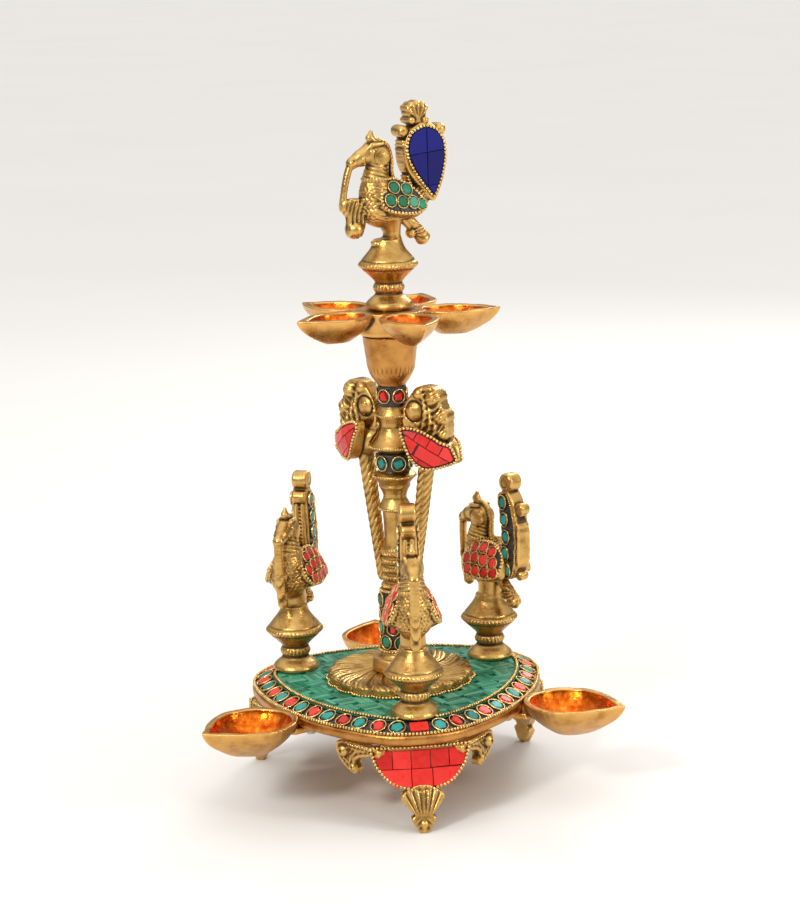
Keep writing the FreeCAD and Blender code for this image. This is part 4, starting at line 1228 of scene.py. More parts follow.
def coat_of(points, inner, rim):
    """How far a point is inside a cup's hollow, where the lacquer was brushed."""
    flat = polygon_distance(points[:, 0], points[:, 1], inner)
    deep = np.clip((rim - 0.3 - points[:, 2]) / 0.8, 0, 1)
    return np.clip(0.5 - flat / 1.2, 0, 1) * deep


def build_diyas():
    points, faces, hollows, coat = diya_mesh()
    # Only the upper, inner face of the wall is lacquered, so points on the outside are left bare.
    normals = point_normals(points, faces)
    inner_face = np.clip(normals[:, 2] * 2.0 + 0.4, 0, 1)
    centre = np.array([0.0, -(DIYA_TIP - 30.0)])
    inward = -np.sum(normals[:, :2] * (points[:, :2] - centre), axis=1)
    coat = coat * np.clip(inner_face + (inward > 0) * 1.0, 0, 1)
    for name, angle in CUP_SIDES:
        place, data = turned(angle), dict(hollow=hollows, coat=coat)
        cast("diya_cup_" + name, "base", CUP_BRASS, place(points), faces, "diya_" + name, **data)


def point_normals(points, faces):
    """Area-weighted normals at the points of a quad mesh."""
    quads = points[faces]
    across = np.cross(quads[:, 2] - quads[:, 0], quads[:, 3] - quads[:, 1])
    total = np.zeros_like(points)
    for k in range(4):
        np.add.at(total, faces[:, k], across)
    return total / np.maximum(np.linalg.norm(total, axis=1, keepdims=True), 1e-9)


def build_tray():
    tip, length, width = 57.5, 44.0, 30.0
    clay = Clay((-59, -59, TRAY_LOW - 1), (59, 59, TRAY_RIM + 1), 0.5)
    depth = TRAY_RIM - TRAY_LOW
    first, count = 11.3, 5
    outline = almond_points(tip, length, width)
    inner = almond_points(tip - 6.2, 34.0, 22.8)
    shells, hollows = [], []
    for i in range(count):
        place = turned(first + 72.0 * i)
        shells.append(place(np.column_stack([outline, np.zeros(len(outline))]))[:, :2])
        hollows.append(place(np.column_stack([inner, np.zeros(len(inner))]))[:, :2])
    low, high = (-58, -58, TRAY_LOW), (58, 58, TRAY_RIM)
    for shell in shells:
        clay.work(low, high, bowl_distance(shell, TRAY_RIM - 0.1, depth, 0.78), 1.6)
    hub = smooth_curve(
        [(0.1, TRAY_LOW + 0.3), (14.6, TRAY_LOW + 0.3), (17.0, TRAY_LOW + 5), (19.0, TRAY_RIM - 0.1)], 5
    )
    clay.turn(np.vstack([hub, [[0.1, TRAY_RIM - 0.1]]]), 1.2)
    for hole in hollows:
        clay.work(
            low, (58, 58, TRAY_RIM + 2), bowl_distance(hole, TRAY_RIM + 0.3, depth - 2.2, 0.64), 0.6,
            carve=True
        )
    clay.relief(clay.low, (60, 60, TRAY_RIM + 1), lambda x, y, z: uneven(3.0, 0.18, x, y, z))
    clay.bar((0, 0, TRAY_LOW - 5), (0, 0, TRAY_RIM + 5), 4.15, carve=True)
    points, faces, hollow = clay.skin()
    normals = point_normals(points, faces)
    coat = np.zeros(len(points))
    for i, hole in enumerate(hollows):
        centre = out(first + 72.0 * i, 36.0)[:2]
        inward = -np.sum(normals[:, :2] * (points[:, :2] - centre), axis=1)
        near = coat_of(points, hole, TRAY_RIM)
        facing = np.clip(normals[:, 2] * 2.0 + 0.4 + (inward > 0) * 1.0, 0, 1)
        coat = np.maximum(coat, near * facing)
    cast("tray_casting", "tray", CUP_BRASS, points, faces, "oil_tray", hollow=hollow, coat=coat)


# ------------------------------------------------------------------ peacocks


def shrunk(outline, inset):
    """A closed outline moved inwards by an inset."""
    pts = np.asarray(outline, dtype=float)
    ahead, behind = np.roll(pts, -1, axis=0), np.roll(pts, 1, axis=0)
    run = ahead - behind
    normal = np.column_stack([-run[:, 1], run[:, 0]])
    normal /= np.maximum(np.linalg.norm(normal, axis=1, keepdims=True), 1e-9)
    if area_of(pts) < 0:
        normal = -normal
    return pts + normal * inset


def half_planes(outline):
    """The inward half-planes of a convex outline."""
    pts = outline if area_of(outline) > 0 else outline[::-1]
    found = []
    for a, b in zip(pts, np.roll(pts, -1, axis=0)):
        run = b - a
        if np.linalg.norm(run) > 1e-6:
            inward = np.array([-run[1], run[0]]) / np.linalg.norm(run)
            found.append((a, inward))
    return found


WING_U, WING_Z, WING_OUT = -5.0, 57.0, 9.8
WING_LEAN = math.radians(26.0)
FAN_OUTLINE = loop([
    (-8.6, 77.0), (-9.4, 84.5), (-13.2, 91.0), (-20.5, 93.8), (-27.5, 91.2), (-32.0, 84.0), (-32.8, 76.0),
    (-31.4, 67.0), (-28.6, 59.5), (-25.6, 53.8), (-22.4, 54.6), (-18.6, 59.5), (-14.0, 64.5),
    (-10.2, 70.0)
])
FAN_HALF = 5.5
BLADE_OUTLINE = loop([
    (-17.0, 50.0), (-15.9, 60.0), (-16.0, 72.0), (-14.5, 84.0), (-14.8, 93.0), (-19.0, 97.0),
    (-23.6, 93.0), (-27.0, 84.0), (-29.3, 72.0), (-28.7, 60.0), (-26.0, 51.0), (-21.5, 47.7)
])
BLADE_HALF = 4.4
PALM_OUTLINE = loop([
    (25.6, 56.0), (20.0, 57.4), (13.4, 56.6), (10.8, 50.6), (12.8, 45.0), (13.6, 40.4), (16.4, 37.2),
    (20.8, 37.2), (23.2, 40.6), (22.8, 44.8), (23.2, 48.6), (25.8, 52.0)
])
KNOB_OUTLINE = loop([
    (-13.4, 92.6), (-14.6, 95.4), (-12.4, 97.2), (-11.0, 100.2), (-12.2, 103.2), (-17.2, 104.9),
    (-22.2, 103.2), (-23.6, 100.4), (-22.2, 97.2), (-20.4, 95.4), (-21.8, 92.6)
])
WING_OUTLINES = {
    "finial": [
        (4.6, 10.4), (9.6, 6.6), (12.2, -1.6), (9.0, -6.4), (1.2, -8.4), (-6.4, -8.4), (-11.4, -5.4),
        (-9.4, 0.2), (-3.6, 7.0)
    ],
    "small": [
        (6.0, 8.8), (-1.0, 10.3), (-8.0, 8.8), (-14.0, 4.4), (-15.6, -2.0), (-13.4, -7.4), (-4.0, -9.8),
        (4.0, -9.8), (10.4, -7.6), (13.2, -1.0), (11.2, 5.0)
    ]
}
WING_RINGS = {
    "finial": [(4.6, 5.2), (-2.0, 3.6), (8.0, -1.6), (1.8, -3.0), (-4.2, -3.4), (-9.0, -4.6)],
    "small": [
        (5.6, 5.6), (-1.0, 6.6), (-7.6, 5.0), (9.4, -1.0), (3.0, 0.0), (-3.7, 0.0), (-10.4, -0.8),
        (6.6, -6.4), (0.0, -6.6), (-6.4, -6.4), (-12.4, -5.6)
    ]
}


def crown(s, t):
    """How far a wing's face bulges, from its middle to its edge."""
    return 1.7 * (1 - (s / 15.0) ** 2 - (t / 12.0) ** 2) - 0.9


def wing_point(side, s, t, lift):
    """A point on a wing: s forwards, t up its face, which leans outwards at its foot."""
    away = lift + crown(s, t)
    x = WING_OUT - math.sin(WING_LEAN) * t + math.cos(WING_LEAN) * away
    z = WING_Z + math.cos(WING_LEAN) * t + math.sin(WING_LEAN) * away
    return at(WING_U + s, z, side * x)


def wing_outline(kind, grow=0.0):
    return shrunk(smooth_curve(WING_OUTLINES[kind], 6, closed=True), -grow)


def peacock_clay(kind):
    """The casting of one peacock on its baluster, facing -Y, heights from its foot."""
    clay = Clay((-17.0, -28.5, -0.6), (17.0, 35.5, BIRD_HEIGHT + 0.8), 0.40)
    pedestal = [
        (0.1, 0.02), (11.7, 0.02), (12.3, 0.5), (12.4, 1.6), (11.7, 3.0), (9.8, 4.8), (8.0, 6.2), (7.0, 7.4),
        (7.1, 8.3), (7.8, 9.2), (8.0, 10.6), (7.6, 12.0), (6.9, 12.9), (7.8, 14.4), (10.0, 16.6),
        (12.8, 19.2), (14.9, 21.3), (15.1, 22.4), (14.8, 23.5), (13.4, 25.4), (11.4, 27.8), (9.6, 30.0),
        (8.2, 32.2), (7.4, 34.0), (7.0, 35.4), (0.1, 35.4)
    ]
    clay.turn(pedestal)
    # The leg, scooped at the front over a small tongue.
    if kind == "finial":
        clay.run([(-1.8, 30.0), (-2.8, 37.6)], (6.4, 3.6), 2.0, 1.5, wide=1.35)
        clay.run([(-2.8, 37.6), (-1.2, 46.5)], (3.6, 6.6), 1.6, 1.5, wide=1.5)
        clay.bar(at(9.6, 40.2, -11), at(9.6, 40.2, 11), 5.4, soft=1.0, carve=True)
        clay.bar(at(7.6, 33.6), at(2.0, 33.0), 1.4, 2.4, 1.0, wide=2.0)
    else:
        clay.run([(-1.0, 31.0), (-1.6, 46.5)], (6.5, 6.0), 1.6, wide=1.05)
        clay.bar(at(10.4, 39.6, -9), at(10.4, 39.6, 9), 5.0, soft=1.0, carve=True)
    # Body, breast and rump.
    clay.ball(at(-2.0, 54.8), (9.6, 17.0, 9.6), 1.5, lean=-6)
    clay.run([(4.4, 51.6), (5.4, 60.0), (5.6, 66.0)], (10.1, 8.2, 6.4), 2.0, 1.5)
    clay.ball(at(-13.0, 52.4), (6.8, 11.0, 6.2), 2.5, lean=12)
    # Neck, head, cheeks, brow, beak and crest.
    clay.run([(6.4, 60.0), (5.6, 68.0), (3.9, 77.0)], (7.3, 6.0, 5.4), 2.0, 1.5)
    clay.ball(at(4.6, 78.4), (5.4, 7.0, 6.8), 1.5)
    clay.run([(9.0, 79.6), (14.0, 77.4), (18.0, 75.6)], (5.1, 4.2, 3.2), 1.2, wide=0.95)
    clay.ball(at(18.9, 75.0), (3.2, 2.9, 3.1), 0.4)
    for x in (-1, 1):
        clay.run([(14.8, 80.2, 2.0 * x), (14.0, 77.0, 4.2 * x), (13.0, 74.0, 3.4 * x)], 0.55, 0.3)
    clay.run([(5.6, 84.0), (8.2, 87.2), (7.6, 90.3)], (2.9, 2.2, 0.9), 0.8, wide=0.9)
    for x in (-1, 1):
        clay.ball(at(3.4, 77.6, 3.6 * x), (2.4, 4.8, 5.0), 0.5)
        clay.groove((3.4, 77.6), (4.9, 5.0), 4.9 * x, 0.36, 12)
        clay.run([(12.6, 80.6, 2.8 * x), (8.6, 84.0, 3.5 * x), (2.6, 84.4, 3.9 * x)], (0.7, 1.0, 0.7), 0.3)
        clay.ball(at(8.8, 80.6, 4.3 * x), (1.0, 1.5, 1.2), 0.2)
        clay.ball(at(19.0, 76.4, 2.9 * x), (0.6, 0.8, 0.6), 0.1, carve=True)
        clay.run([(19.0, 73.4, 2.6 * x), (12.0, 75.2, 4.2 * x)], 0.35, 0.1, carve=True)
    mane = smooth_curve([(8.4, 85.6), (3.4, 86.0), (-1.4, 82.6), (-3.4, 76.0), (-3.2, 69.0), (-5.4, 63.0)], 6)
    clay.run(mane, 1.1, 0.5, 0.3)
    for u, z in evenly(mane, 1.9):
        for x in (-0.75, 0.75):
            clay.ball(at(u, z, x), (0.95, 1.05, 1.05), 0.15)
    # The strap from the beak, and the palm leaf under it with a rolled foot.
    if kind == "finial":
        strap = smooth_curve([(19.6, 74.6), (21.6, 69.4), (23.4, 62.6), (24.4, 56.4), (23.8, 53.0)], 4)
        clay.run(strap, 1.75, 0.4, 0.3, wide=1.15)
        clay.plate(PALM_OUTLINE, 2.5, 0.6, 1.3)
        clay.roll(18.6, 41.6, 1.2, 4.3, 0.5)
        clay.run([(17.0, 53.4), (11.0, 52.0)], (3.0, 4.0), 1.0)
    else:
        strap = smooth_curve(
            [(19.4, 74.6), (19.8, 68.0), (19.6, 60.0), (19.0, 52.0), (17.6, 45.0), (15.0, 40.4)], 4
        )
        clay.run(strap, 1.6, 0.4, 0.3, wide=1.5)
        clay.run([(18.0, 53.4), (11.0, 52.0)], (2.0, 3.4), 1.0)
        clay.ball(at(15.6, 40.6), (2.6, 3.2, 3.2), 0.6)
    # The lower tail: a flared bell and a ball beside it.
    clay.run([(-9.5, 48.4), (-14.6, 42.4), (-20.2, 34.6)], (2.4, 2.6, 3.9), 0.8)
    clay.run([(-7.5, 46.5), (-12.6, 40.4)], (2.4, 1.6), 0.8)
    clay.ball(at(-13.6, 37.2), (2.9, 2.9, 2.9), 0.5)
    for x in (-1, 1):
        wing_pad(clay, kind, x)
    if kind == "finial":
        fan_tail(clay)
    else:
        blade_tail(clay)
    return clay


def wing_pad(clay, kind, side):
    """The casting's pad under one wing."""
    outline = wing_outline(kind, 0.7)
    c, s = math.cos(WING_LEAN), math.sin(WING_LEAN)

    def distance(x, y, z):
        away = (x * side - WING_OUT) * c + (z - WING_Z) * s
        up = -(x * side - WING_OUT) * s + (z - WING_Z) * c
        ahead = -y - WING_U
        flat = polygon_distance(ahead + 0 * up, up + 0 * ahead, outline)
        return np.maximum(flat, np.maximum(away - crown(ahead, up), -away - 6.0))

    low, high = np.array([2.0, -10.0, 44.0]), np.array([16.6, 23.0, 69.0])
    if side < 0:
        low[0], high[0] = -16.6, -2.0
    clay.work(low, high, distance, 0.8)


def shell_ribs(clay, u, z, low, high, count, depth):
    """Radiating ribs on a bird's flanks, from a point, inside a box."""

    def ribs(x, y, zz):
        turn = np.arctan2(-y - u, zz - z)
        return depth * (np.abs(np.cos(turn * count)) - 0.5)

    clay.relief(low, high, ribs)


def fan_tail(clay):
    """The finial's broad upright tail, with a shell on top and lobes at its shoulders."""
    clay.run([(-9.0, 55.0), (-20.0, 58.0), (-25.0, 62.0)], (5.5, 5.0, 4.0), 2.0)
    clay.plate(FAN_OUTLINE, FAN_HALF, 0.8, 0.7)
    clay.plate(KNOB_OUTLINE, 4.9, 0.8, 2.6)
    shell_ribs(clay, -17.4, 94.4, (-7, 8.0, 97.0), (7, 26.0, BIRD_HEIGHT), 9.0, 0.55)
    for u in (-13.6, -21.2):
        clay.roll(u, 95.0, 4.4, 1.9, 0.3)
    for u in (-30.2, -8.8):
        clay.roll(u, 89.8, 3.2, 3.1, 0.5)
    for k in range(12):
        z = 84.5 - 2.2 * k
        clay.roll(-9.0 - 0.034 * k * k, z + 0.5 * math.sin(k * 2.1), 3.4, 0.95, 0.5)


def blade_tail(clay):
    """A small bird's narrow upright tail, its edges ribbed, ending in rolled scrolls."""
    clay.run([(-9.0, 54.0), (-21.0, 57.0)], (5.0, 4.2), 1.5)
    clay.plate(BLADE_OUTLINE, BLADE_HALF, 0.8, 0.7)
    turns = [t * math.pi / 12 for t in range(24)]
    for u, z, radius, half in (
        (-19.2, BIRD_HEIGHT - 5.2, 5.1, 4.4), (-15.6, 91.4, 3.6, 4.0), (-28.2, 87.0, 3.4, 3.4),
        (-27.2, 50.4, 2.6, 3.2)
    ):
        clay.plate([(u - radius * math.cos(t), z + radius * math.sin(t)) for t in turns], half, 0.6, 1.6)
    for x in (-1, 1):
        for ring in (3.9, 2.2):
            clay.groove((-19.2, BIRD_HEIGHT - 5.4), (ring, ring), 4.6 * x, 0.45, 20)
    clay.run([(-30.2, z) for z in (84.0, 76.0, 66.0, 56.0)], 1.0, 0.5, carve=True)

    def back_edge(x, y, z):
        fade = rise(y, 24.0, 2.0) * fall(z, 85.0, 2) * rise(z, 53.0, 2)
        return fade * (0.14 * np.sin(1.3 * z) + 0.34 * np.cos(2.4 * (y - 0.03 * (z - 70.0))))

    clay.relief((-6, 22.0, 50.0), (6, 33.0, 88.0), back_edge)
    for x in (-1.7, 1.7):
        clay.run([(-14.4, 87.0, x), (-15.4, 78.0, x), (-15.9, 66.0, x), (-15.8, 58.0, x)], 1.3, 0.4)
    for k in range(14):
        z = 86.0 - 2.1 * k
        clay.roll(-14.7 - 0.012 * k * k, z, 2.0, 0.8, 0.5)


def chase_peacock(clay):
    """The chased relief: scales on the breast, strokes on the neck, belly and tail edge."""

    def scales(x, y, z):
        u = -y
        around = np.arctan2(x, np.maximum(u + 4.0, 0.5)) * 12.0 + 0.5 * np.sin(z * 0.9)
        row = np.floor(z / 1.9)
        place = around / 2.9 + 0.5 * (row % 2)
        cell = np.abs(place - np.round(place)) * 2
        inside = (z / 1.9 - row) + 0.55 * cell**2
        fade = rise(u, 1.0, 3.0) * fall(z, 65.0, 2) * rise(z, 43.5, 2)
        fade = fade * fall(u, 17.0, 1.2)
        return fade * 0.62 * (
            np.abs((inside % 1.0) - 0.5) - 0.28
        ) + fade * 0.12 * np.sin(3.1 * x + 2.6 * np.sin(1.1 * z))

    clay.relief((-11.5, -17.5, 43), (11.5, 0.0, 66), scales)

    def quills(x, y, z):
        u = -y
        fade = rise(y, 1.0, 3) * fall(z, 66.5, 2) * rise(z, 44, 2)
        fade = fade * fall(y, 21.0, 3)
        return fade * 0.26 * np.sin(3.3 * z + 1.7 * u + 1.2 * np.sin(u * 0.9))

    clay.relief((-12, -1, 43), (12, 21, 67), quills)

    def neck(x, y, z):
        u = -y
        fade = fall(y, 2.6, 1.5) * rise(z, 66, 1.5) * fall(z, 75, 1.5)
        turn = np.arctan2(x, u - 4.6)
        return fade * 0.20 * np.sin(3.1 * z + 5.0 * np.abs(turn))

    clay.relief((-8, -14, 64), (8, 3, 76), neck)

    def collar(x, y, z):
        turn = np.arctan2(x, -y - 5.6)
        ring = np.exp(-(((z - 66.6) / 0.9) ** 2))
        return ring * (0.55 + 0.30 * np.cos(26 * turn))

    clay.relief((-9, -15, 63), (9, 2.5, 69), collar)

    def palm(x, y, z):
        u = -y
        return 0.5 * (np.abs(np.sin(1.35 * (u - 12.0) + 0.28 * (z - 40.0) + 1.2 * np.sin(0.22 * z))) - 0.5)

    clay.relief((-3.4, -25.5, 36.5), (3.4, -12.5, 57), palm)

    def bell_ribs(x, y, z):
        return 0.30 * np.cos(np.arctan2(x, (z - 38.0) + (-y + 18.0) * 0.3) * 12.0)

    clay.relief((-5, 14.8, 31.0), (5, 25.5, 42.5), bell_ribs)

    def zigzag(x, y, z):
        turn = np.arctan2(y, x)
        bead = np.exp(-(((z - 22.4) / 0.85) ** 2)) * (0.30 + 0.30 * np.cos(46 * turn))
        tooth = np.exp(-(((z - 20.4 - 0.4 * np.cos(46 * turn)) / 0.5) ** 2)) * -0.4
        ring = np.exp(-(((z - 10.4) / 1.5) ** 2)) * 0.30 * np.cos(24 * turn)
        return bead + tooth + ring - 0.25 * np.exp(-(((z - 24.6) / 0.4) ** 2))

    clay.relief((-16, -16, 7.0), (16, 16, 26.0), zigzag)

    def cheek(x, y, z):
        u = -y
        far = np.sqrt((u - 3.4) ** 2 + (z - 77.6) ** 2)
        fade = rise(np.abs(x), 3.0, 1.0) * fall(far, 4.2, 0.6)
        return fade * 0.16 * np.sin(4.4 * u + 1.0) * np.sin(4.4 * z)

    clay.relief((-8, -8.5, 72), (8, 2, 83), cheek)
    clay.relief((-17, -29, 26), (17, 36, BIRD_HEIGHT), lambda x, y, z: uneven(2.0, 0.16, x, y, z))


def wing_bed(pile, kind, side):
    """The black lac cushion on one wing, crowned and rolled in at its edge."""
    outline = wing_outline(kind)
    middle = outline.mean(axis=0)
    count = len(outline)
    points = []
    for share, lift in ((1.05, -1.8), (1.03, 0.0), (0.98, 0.35), (0.80, 0.45), (0.5, 0.45), (0.2, 0.45)):
        for p in outline:
            s, t = middle + (p - middle) * share
            points.append(wing_point(side, s, t, lift + 0.08 * math.sin(3.1 * s + 2.3 * t)))
    points.append(wing_point(side, *middle, 0.45))
    pile.add(points, outward(grid_faces(6, count) + fan_faces(5 * count, count), outline, side))


def dress_wing(kind, side, stones, rings, beads, bed):
    wing_bed(bed, kind, side)
    for s, t in WING_RINGS[kind]:
        centre = wing_point(side, s, t, 0.35)
        ahead = wing_point(side, s + 0.5, t, 0.35) - wing_point(side, s - 0.5, t, 0.35)
        upward = wing_point(side, s, t + 0.5, 0.35) - wing_point(side, s, t - 0.5, 0.35)
        normal = np.cross(ahead, upward)
        normal = normal if normal[0] * side > 0 else -normal
        lean = rng.uniform(-0.3, 0.3)
        axes = basis(normal, ahead + lean * upward)
        half = rng.uniform(2.95, 3.2)
        oval_ring(rings, centre, axes, half * 0.98, half * 1.12, 0.5, 1.15, 24)
        corners = 8 if kind == "finial" else int(rng.integers(5, 7))
        chip(stones, centre, axes, half - 0.38, half * 1.12 - 0.42, 1.3, corners, 0.06)
    path = np.array([wing_point(side, s, t, 0.3) for s, t in wing_outline(kind, 0.2)])
    bead_string(beads, path, 0.92, True)


def tail_field(side, half, u, z, lift):
    return at(u, z, side * (half + lift))


def flank_sheet(bed, side, half, outline, lift):
    """A bed over a closed outline on a flank, fanned from its middle."""
    middle = outline.mean(axis=0)
    points = [tail_field(side, half, u, z, lift) for u, z in outline]
    points += [tail_field(side, half, u, z, -0.6) for u, z in shrunk(outline, -0.2)]
    points.append(tail_field(side, half, *middle, lift))
    count = len(outline)
    faces = [(j, (j + 1) % count, 2 * count) for j in range(count)]
    faces += [(count + j, count + (j + 1) % count, (j + 1) % count, j) for j in range(count)]
    bed.add(points, outward(faces, outline, side))


def dress_finial_tail(side, tiles, beads, bed):
    """Blue tiles parted by cross joints, with a bead border."""
    corners = [
        (-19.8, 92.4), (-26.6, 90.6), (-31.2, 84.6), (-32.0, 76.0), (-30.2, 66.6), (-26.8, 58.6),
        (-24.4, 55.6), (-20.8, 59.4), (-15.0, 66.6), (-10.8, 74.4), (-9.4, 81.4), (-12.2, 89.0)
    ]
    outline = loop(corners)
    field = list(shrunk(outline, 1.5))
    joint, slant = 0.13, 0.10
    rows = ((50.0, 61.4), (61.4, 78.6), (78.6, 99.0))
    for low, high in rows:
        for left, right in ((-45.0, -21.0), (-21.0, 0.0)):
            cell = [
                (left + joint, low + joint - slant * (left + 21)),
                (right - joint, low + joint - slant * (right + 21)),
                (right - joint, high - joint - slant * (right + 21)),
                (left + joint, high - joint - slant * (left + 21))
            ]
            cut_tile(tiles, field, cell, lambda u, z, h: tail_field(side, FAN_HALF, u, z, 0.1 + h), 1.2, 0.12)
    flank_sheet(bed, side, FAN_HALF, shrunk(outline, 0.2), 0.2)
    path = np.array([tail_field(side, FAN_HALF, u, z, 0.5) for u, z in shrunk(outline, 0.35)])
    bead_string(beads, path, 0.95, True)


def dress_small_tail(side, stones, rings, beads, bed):
    """Five ringed turquoise chips up the flank of the tail, over black lac."""
    places = [(-20.6, 52.9), (-19.6, 61.9), (-20.4, 71.2), (-19.4, 80.6), (-18.2, 89.9)]
    for u, z in places:
        axes = basis((side, 0.0, 0.0), at(rng.uniform(-0.12, 0.12), 1.0))
        centre = tail_field(side, BLADE_HALF, u, z, 0.25)
        half = rng.uniform(3.7, 4.0)
        oval_ring(rings, centre, axes, half, 2.9, 0.5, 1.2, 24)
        chip(stones, centre, axes, half - 0.8, 2.25, 1.25, 6, 0.1)
    lac = loop([
        (-17.6, 51.0), (-16.6, 60.0), (-16.8, 72.0), (-15.4, 84.0), (-15.8, 92.4), (-19.0, 94.6),
        (-22.0, 91.4), (-24.6, 84.0), (-26.6, 72.0), (-26.0, 60.0), (-24.0, 51.6), (-21.0, 48.8)
    ])
    flank_sheet(bed, side, BLADE_HALF, lac, 0.3)
    rear = np.array([p for p in shrunk(lac, -0.5) if p[0] < -20.5])
    rear = rear[np.argsort(rear[:, 1])]
    path = np.array([tail_field(side, BLADE_HALF, u, z, 0.2) for u, z in rear])
    bead_string(beads, path, 0.55)


def build_birds():
    casts = {}
    for kind in ("finial", "small"):
        clay = peacock_clay(kind)
        chase_peacock(clay)
        casts[kind] = clay.skin()
    jobs = [("finial", "finial", FINIAL_FACING, (0.0, 0.0, FINIAL_SEAT))]
    for name, angle in CORNERS:
        jobs.append((name, "bird_%s_body" % name, FACINGS[name], out(angle, BIRD_CIRCLE, BIRD_SEAT)))
    for name, body, facing, centre in jobs:
        place = turned(facing, centre)
        kind = "finial" if name == "finial" else "small"
        stem = "finial" if kind == "finial" else "bird_" + name
        node = "finial_bird" if kind == "finial" else stem
        points, faces, hollow = casts[kind]
        cast(stem + "_peacock", body, BRASS, place(points), faces, node, hollow=hollow)
        wings, rings, beads, bed, tails = Pile(), Pile(), Pile(), Pile(), Pile()
        for side in (-1, 1):
            dress_wing(kind, side, wings, rings, beads, bed)
            if kind == "finial":
                dress_finial_tail(side, tails, beads, bed)
            else:
                dress_small_tail(side, tails, rings, beads, bed)
        for pile in (wings, rings, beads, bed, tails):
            pile.points = [tuple(p) for p in place(np.array(pile.points))]
        if kind == "finial":
            emit_pile(stem + "_wing_chips", body, "emerald", wings, "finial_wing_stones")
            emit_pile(stem + "_tail_tiles", body, "lapis", tails, "finial_tail_tiles")
            emit_pile(stem + "_bead_borders", body, "wire", beads, "finial_beads")
        else:
            emit_pile(stem + "_wing_chips", body, "coral", wings, stem + "_wing_stones")
            emit_pile(stem + "_tail_chips", body, "turquoise", tails, stem + "_tail_stones")
            emit_pile(stem + "_bead_borders", body, "wire", beads)
        emit_pile(stem + "_wire_rings", body, "wire", rings)
        emit_pile(stem + "_lac_beds", body, "lac", bed)


# ------------------------------------------------------------------ legs


SHIELD_TOP, SHIELD_LOW, SHIELD_HALF = 43.0, 20.0, 25.5
SHIELD_REACH, SHIELD_TILT = 76.5, 16.0


def shield_outline(inset=0.0):
    """The apron shield in (x, z): straight above, bowed sides drawn to a point below."""
    half = SHIELD_HALF - inset
    top = SHIELD_TOP - inset
    low = SHIELD_LOW + inset * 0.8
    right = smooth_curve([
        (half, top), (half * 0.96, top - 4.6), (half * 0.84, top - 11.0), (half * 0.58, top - 17.4),
        (half * 0.22, low + 1.8), (0.0, low)
    ], 5)
    left = [(-x, z) for x, z in right[::-1][1:]]
    return np.vstack([right, left])


def on_shield(x, z, lift):
    """A point on the leaning face of the shield, which also bows forward in the middle."""
    lean = math.radians(SHIELD_TILT)
    drop = SHIELD_TOP - z
    bow = 1.1 * (1 - (x / SHIELD_HALF) ** 2) - 0.8
    forward = SHIELD_REACH + drop * math.tan(lean) + (lift + bow) / math.cos(lean)
    return np.array([x, -forward, z])


SCROLL_OUTLINE = [
    (-3.0, 42.2), (5.0, 42.8), (14.0, 43.0), (22.0, 42.8), (27.0, 41.4), (28.2, 37.4), (26.6, 33.0),
    (22.8, 29.6), (18.4, 26.9), (14.8, 26.2), (13.2, 28.8), (14.6, 32.4), (11.6, 35.2), (6.4, 36.8),
    (1.0, 38.0), (-3.0, 38.4)
]
SCROLL_ROOT = np.array([21.4, -76.0])
SCROLL_RUN = np.array([20.4, 25.9]) / math.hypot(20.4, 25.9)


def scroll_place(hand, x, y):
    """How far along a side scroll a point is, and how far in front of its middle."""
    dx, dy = x * hand - SCROLL_ROOT[0], y - SCROLL_ROOT[1]
    return dx * SCROLL_RUN[0] + dy * SCROLL_RUN[1], dx * SCROLL_RUN[1] - dy * SCROLL_RUN[0]


def from_scroll(hand, a, off, z):
    flat = SCROLL_ROOT + a * SCROLL_RUN + off * np.array([SCROLL_RUN[1], -SCROLL_RUN[0]])
    return np.array([hand * flat[0], flat[1], z])


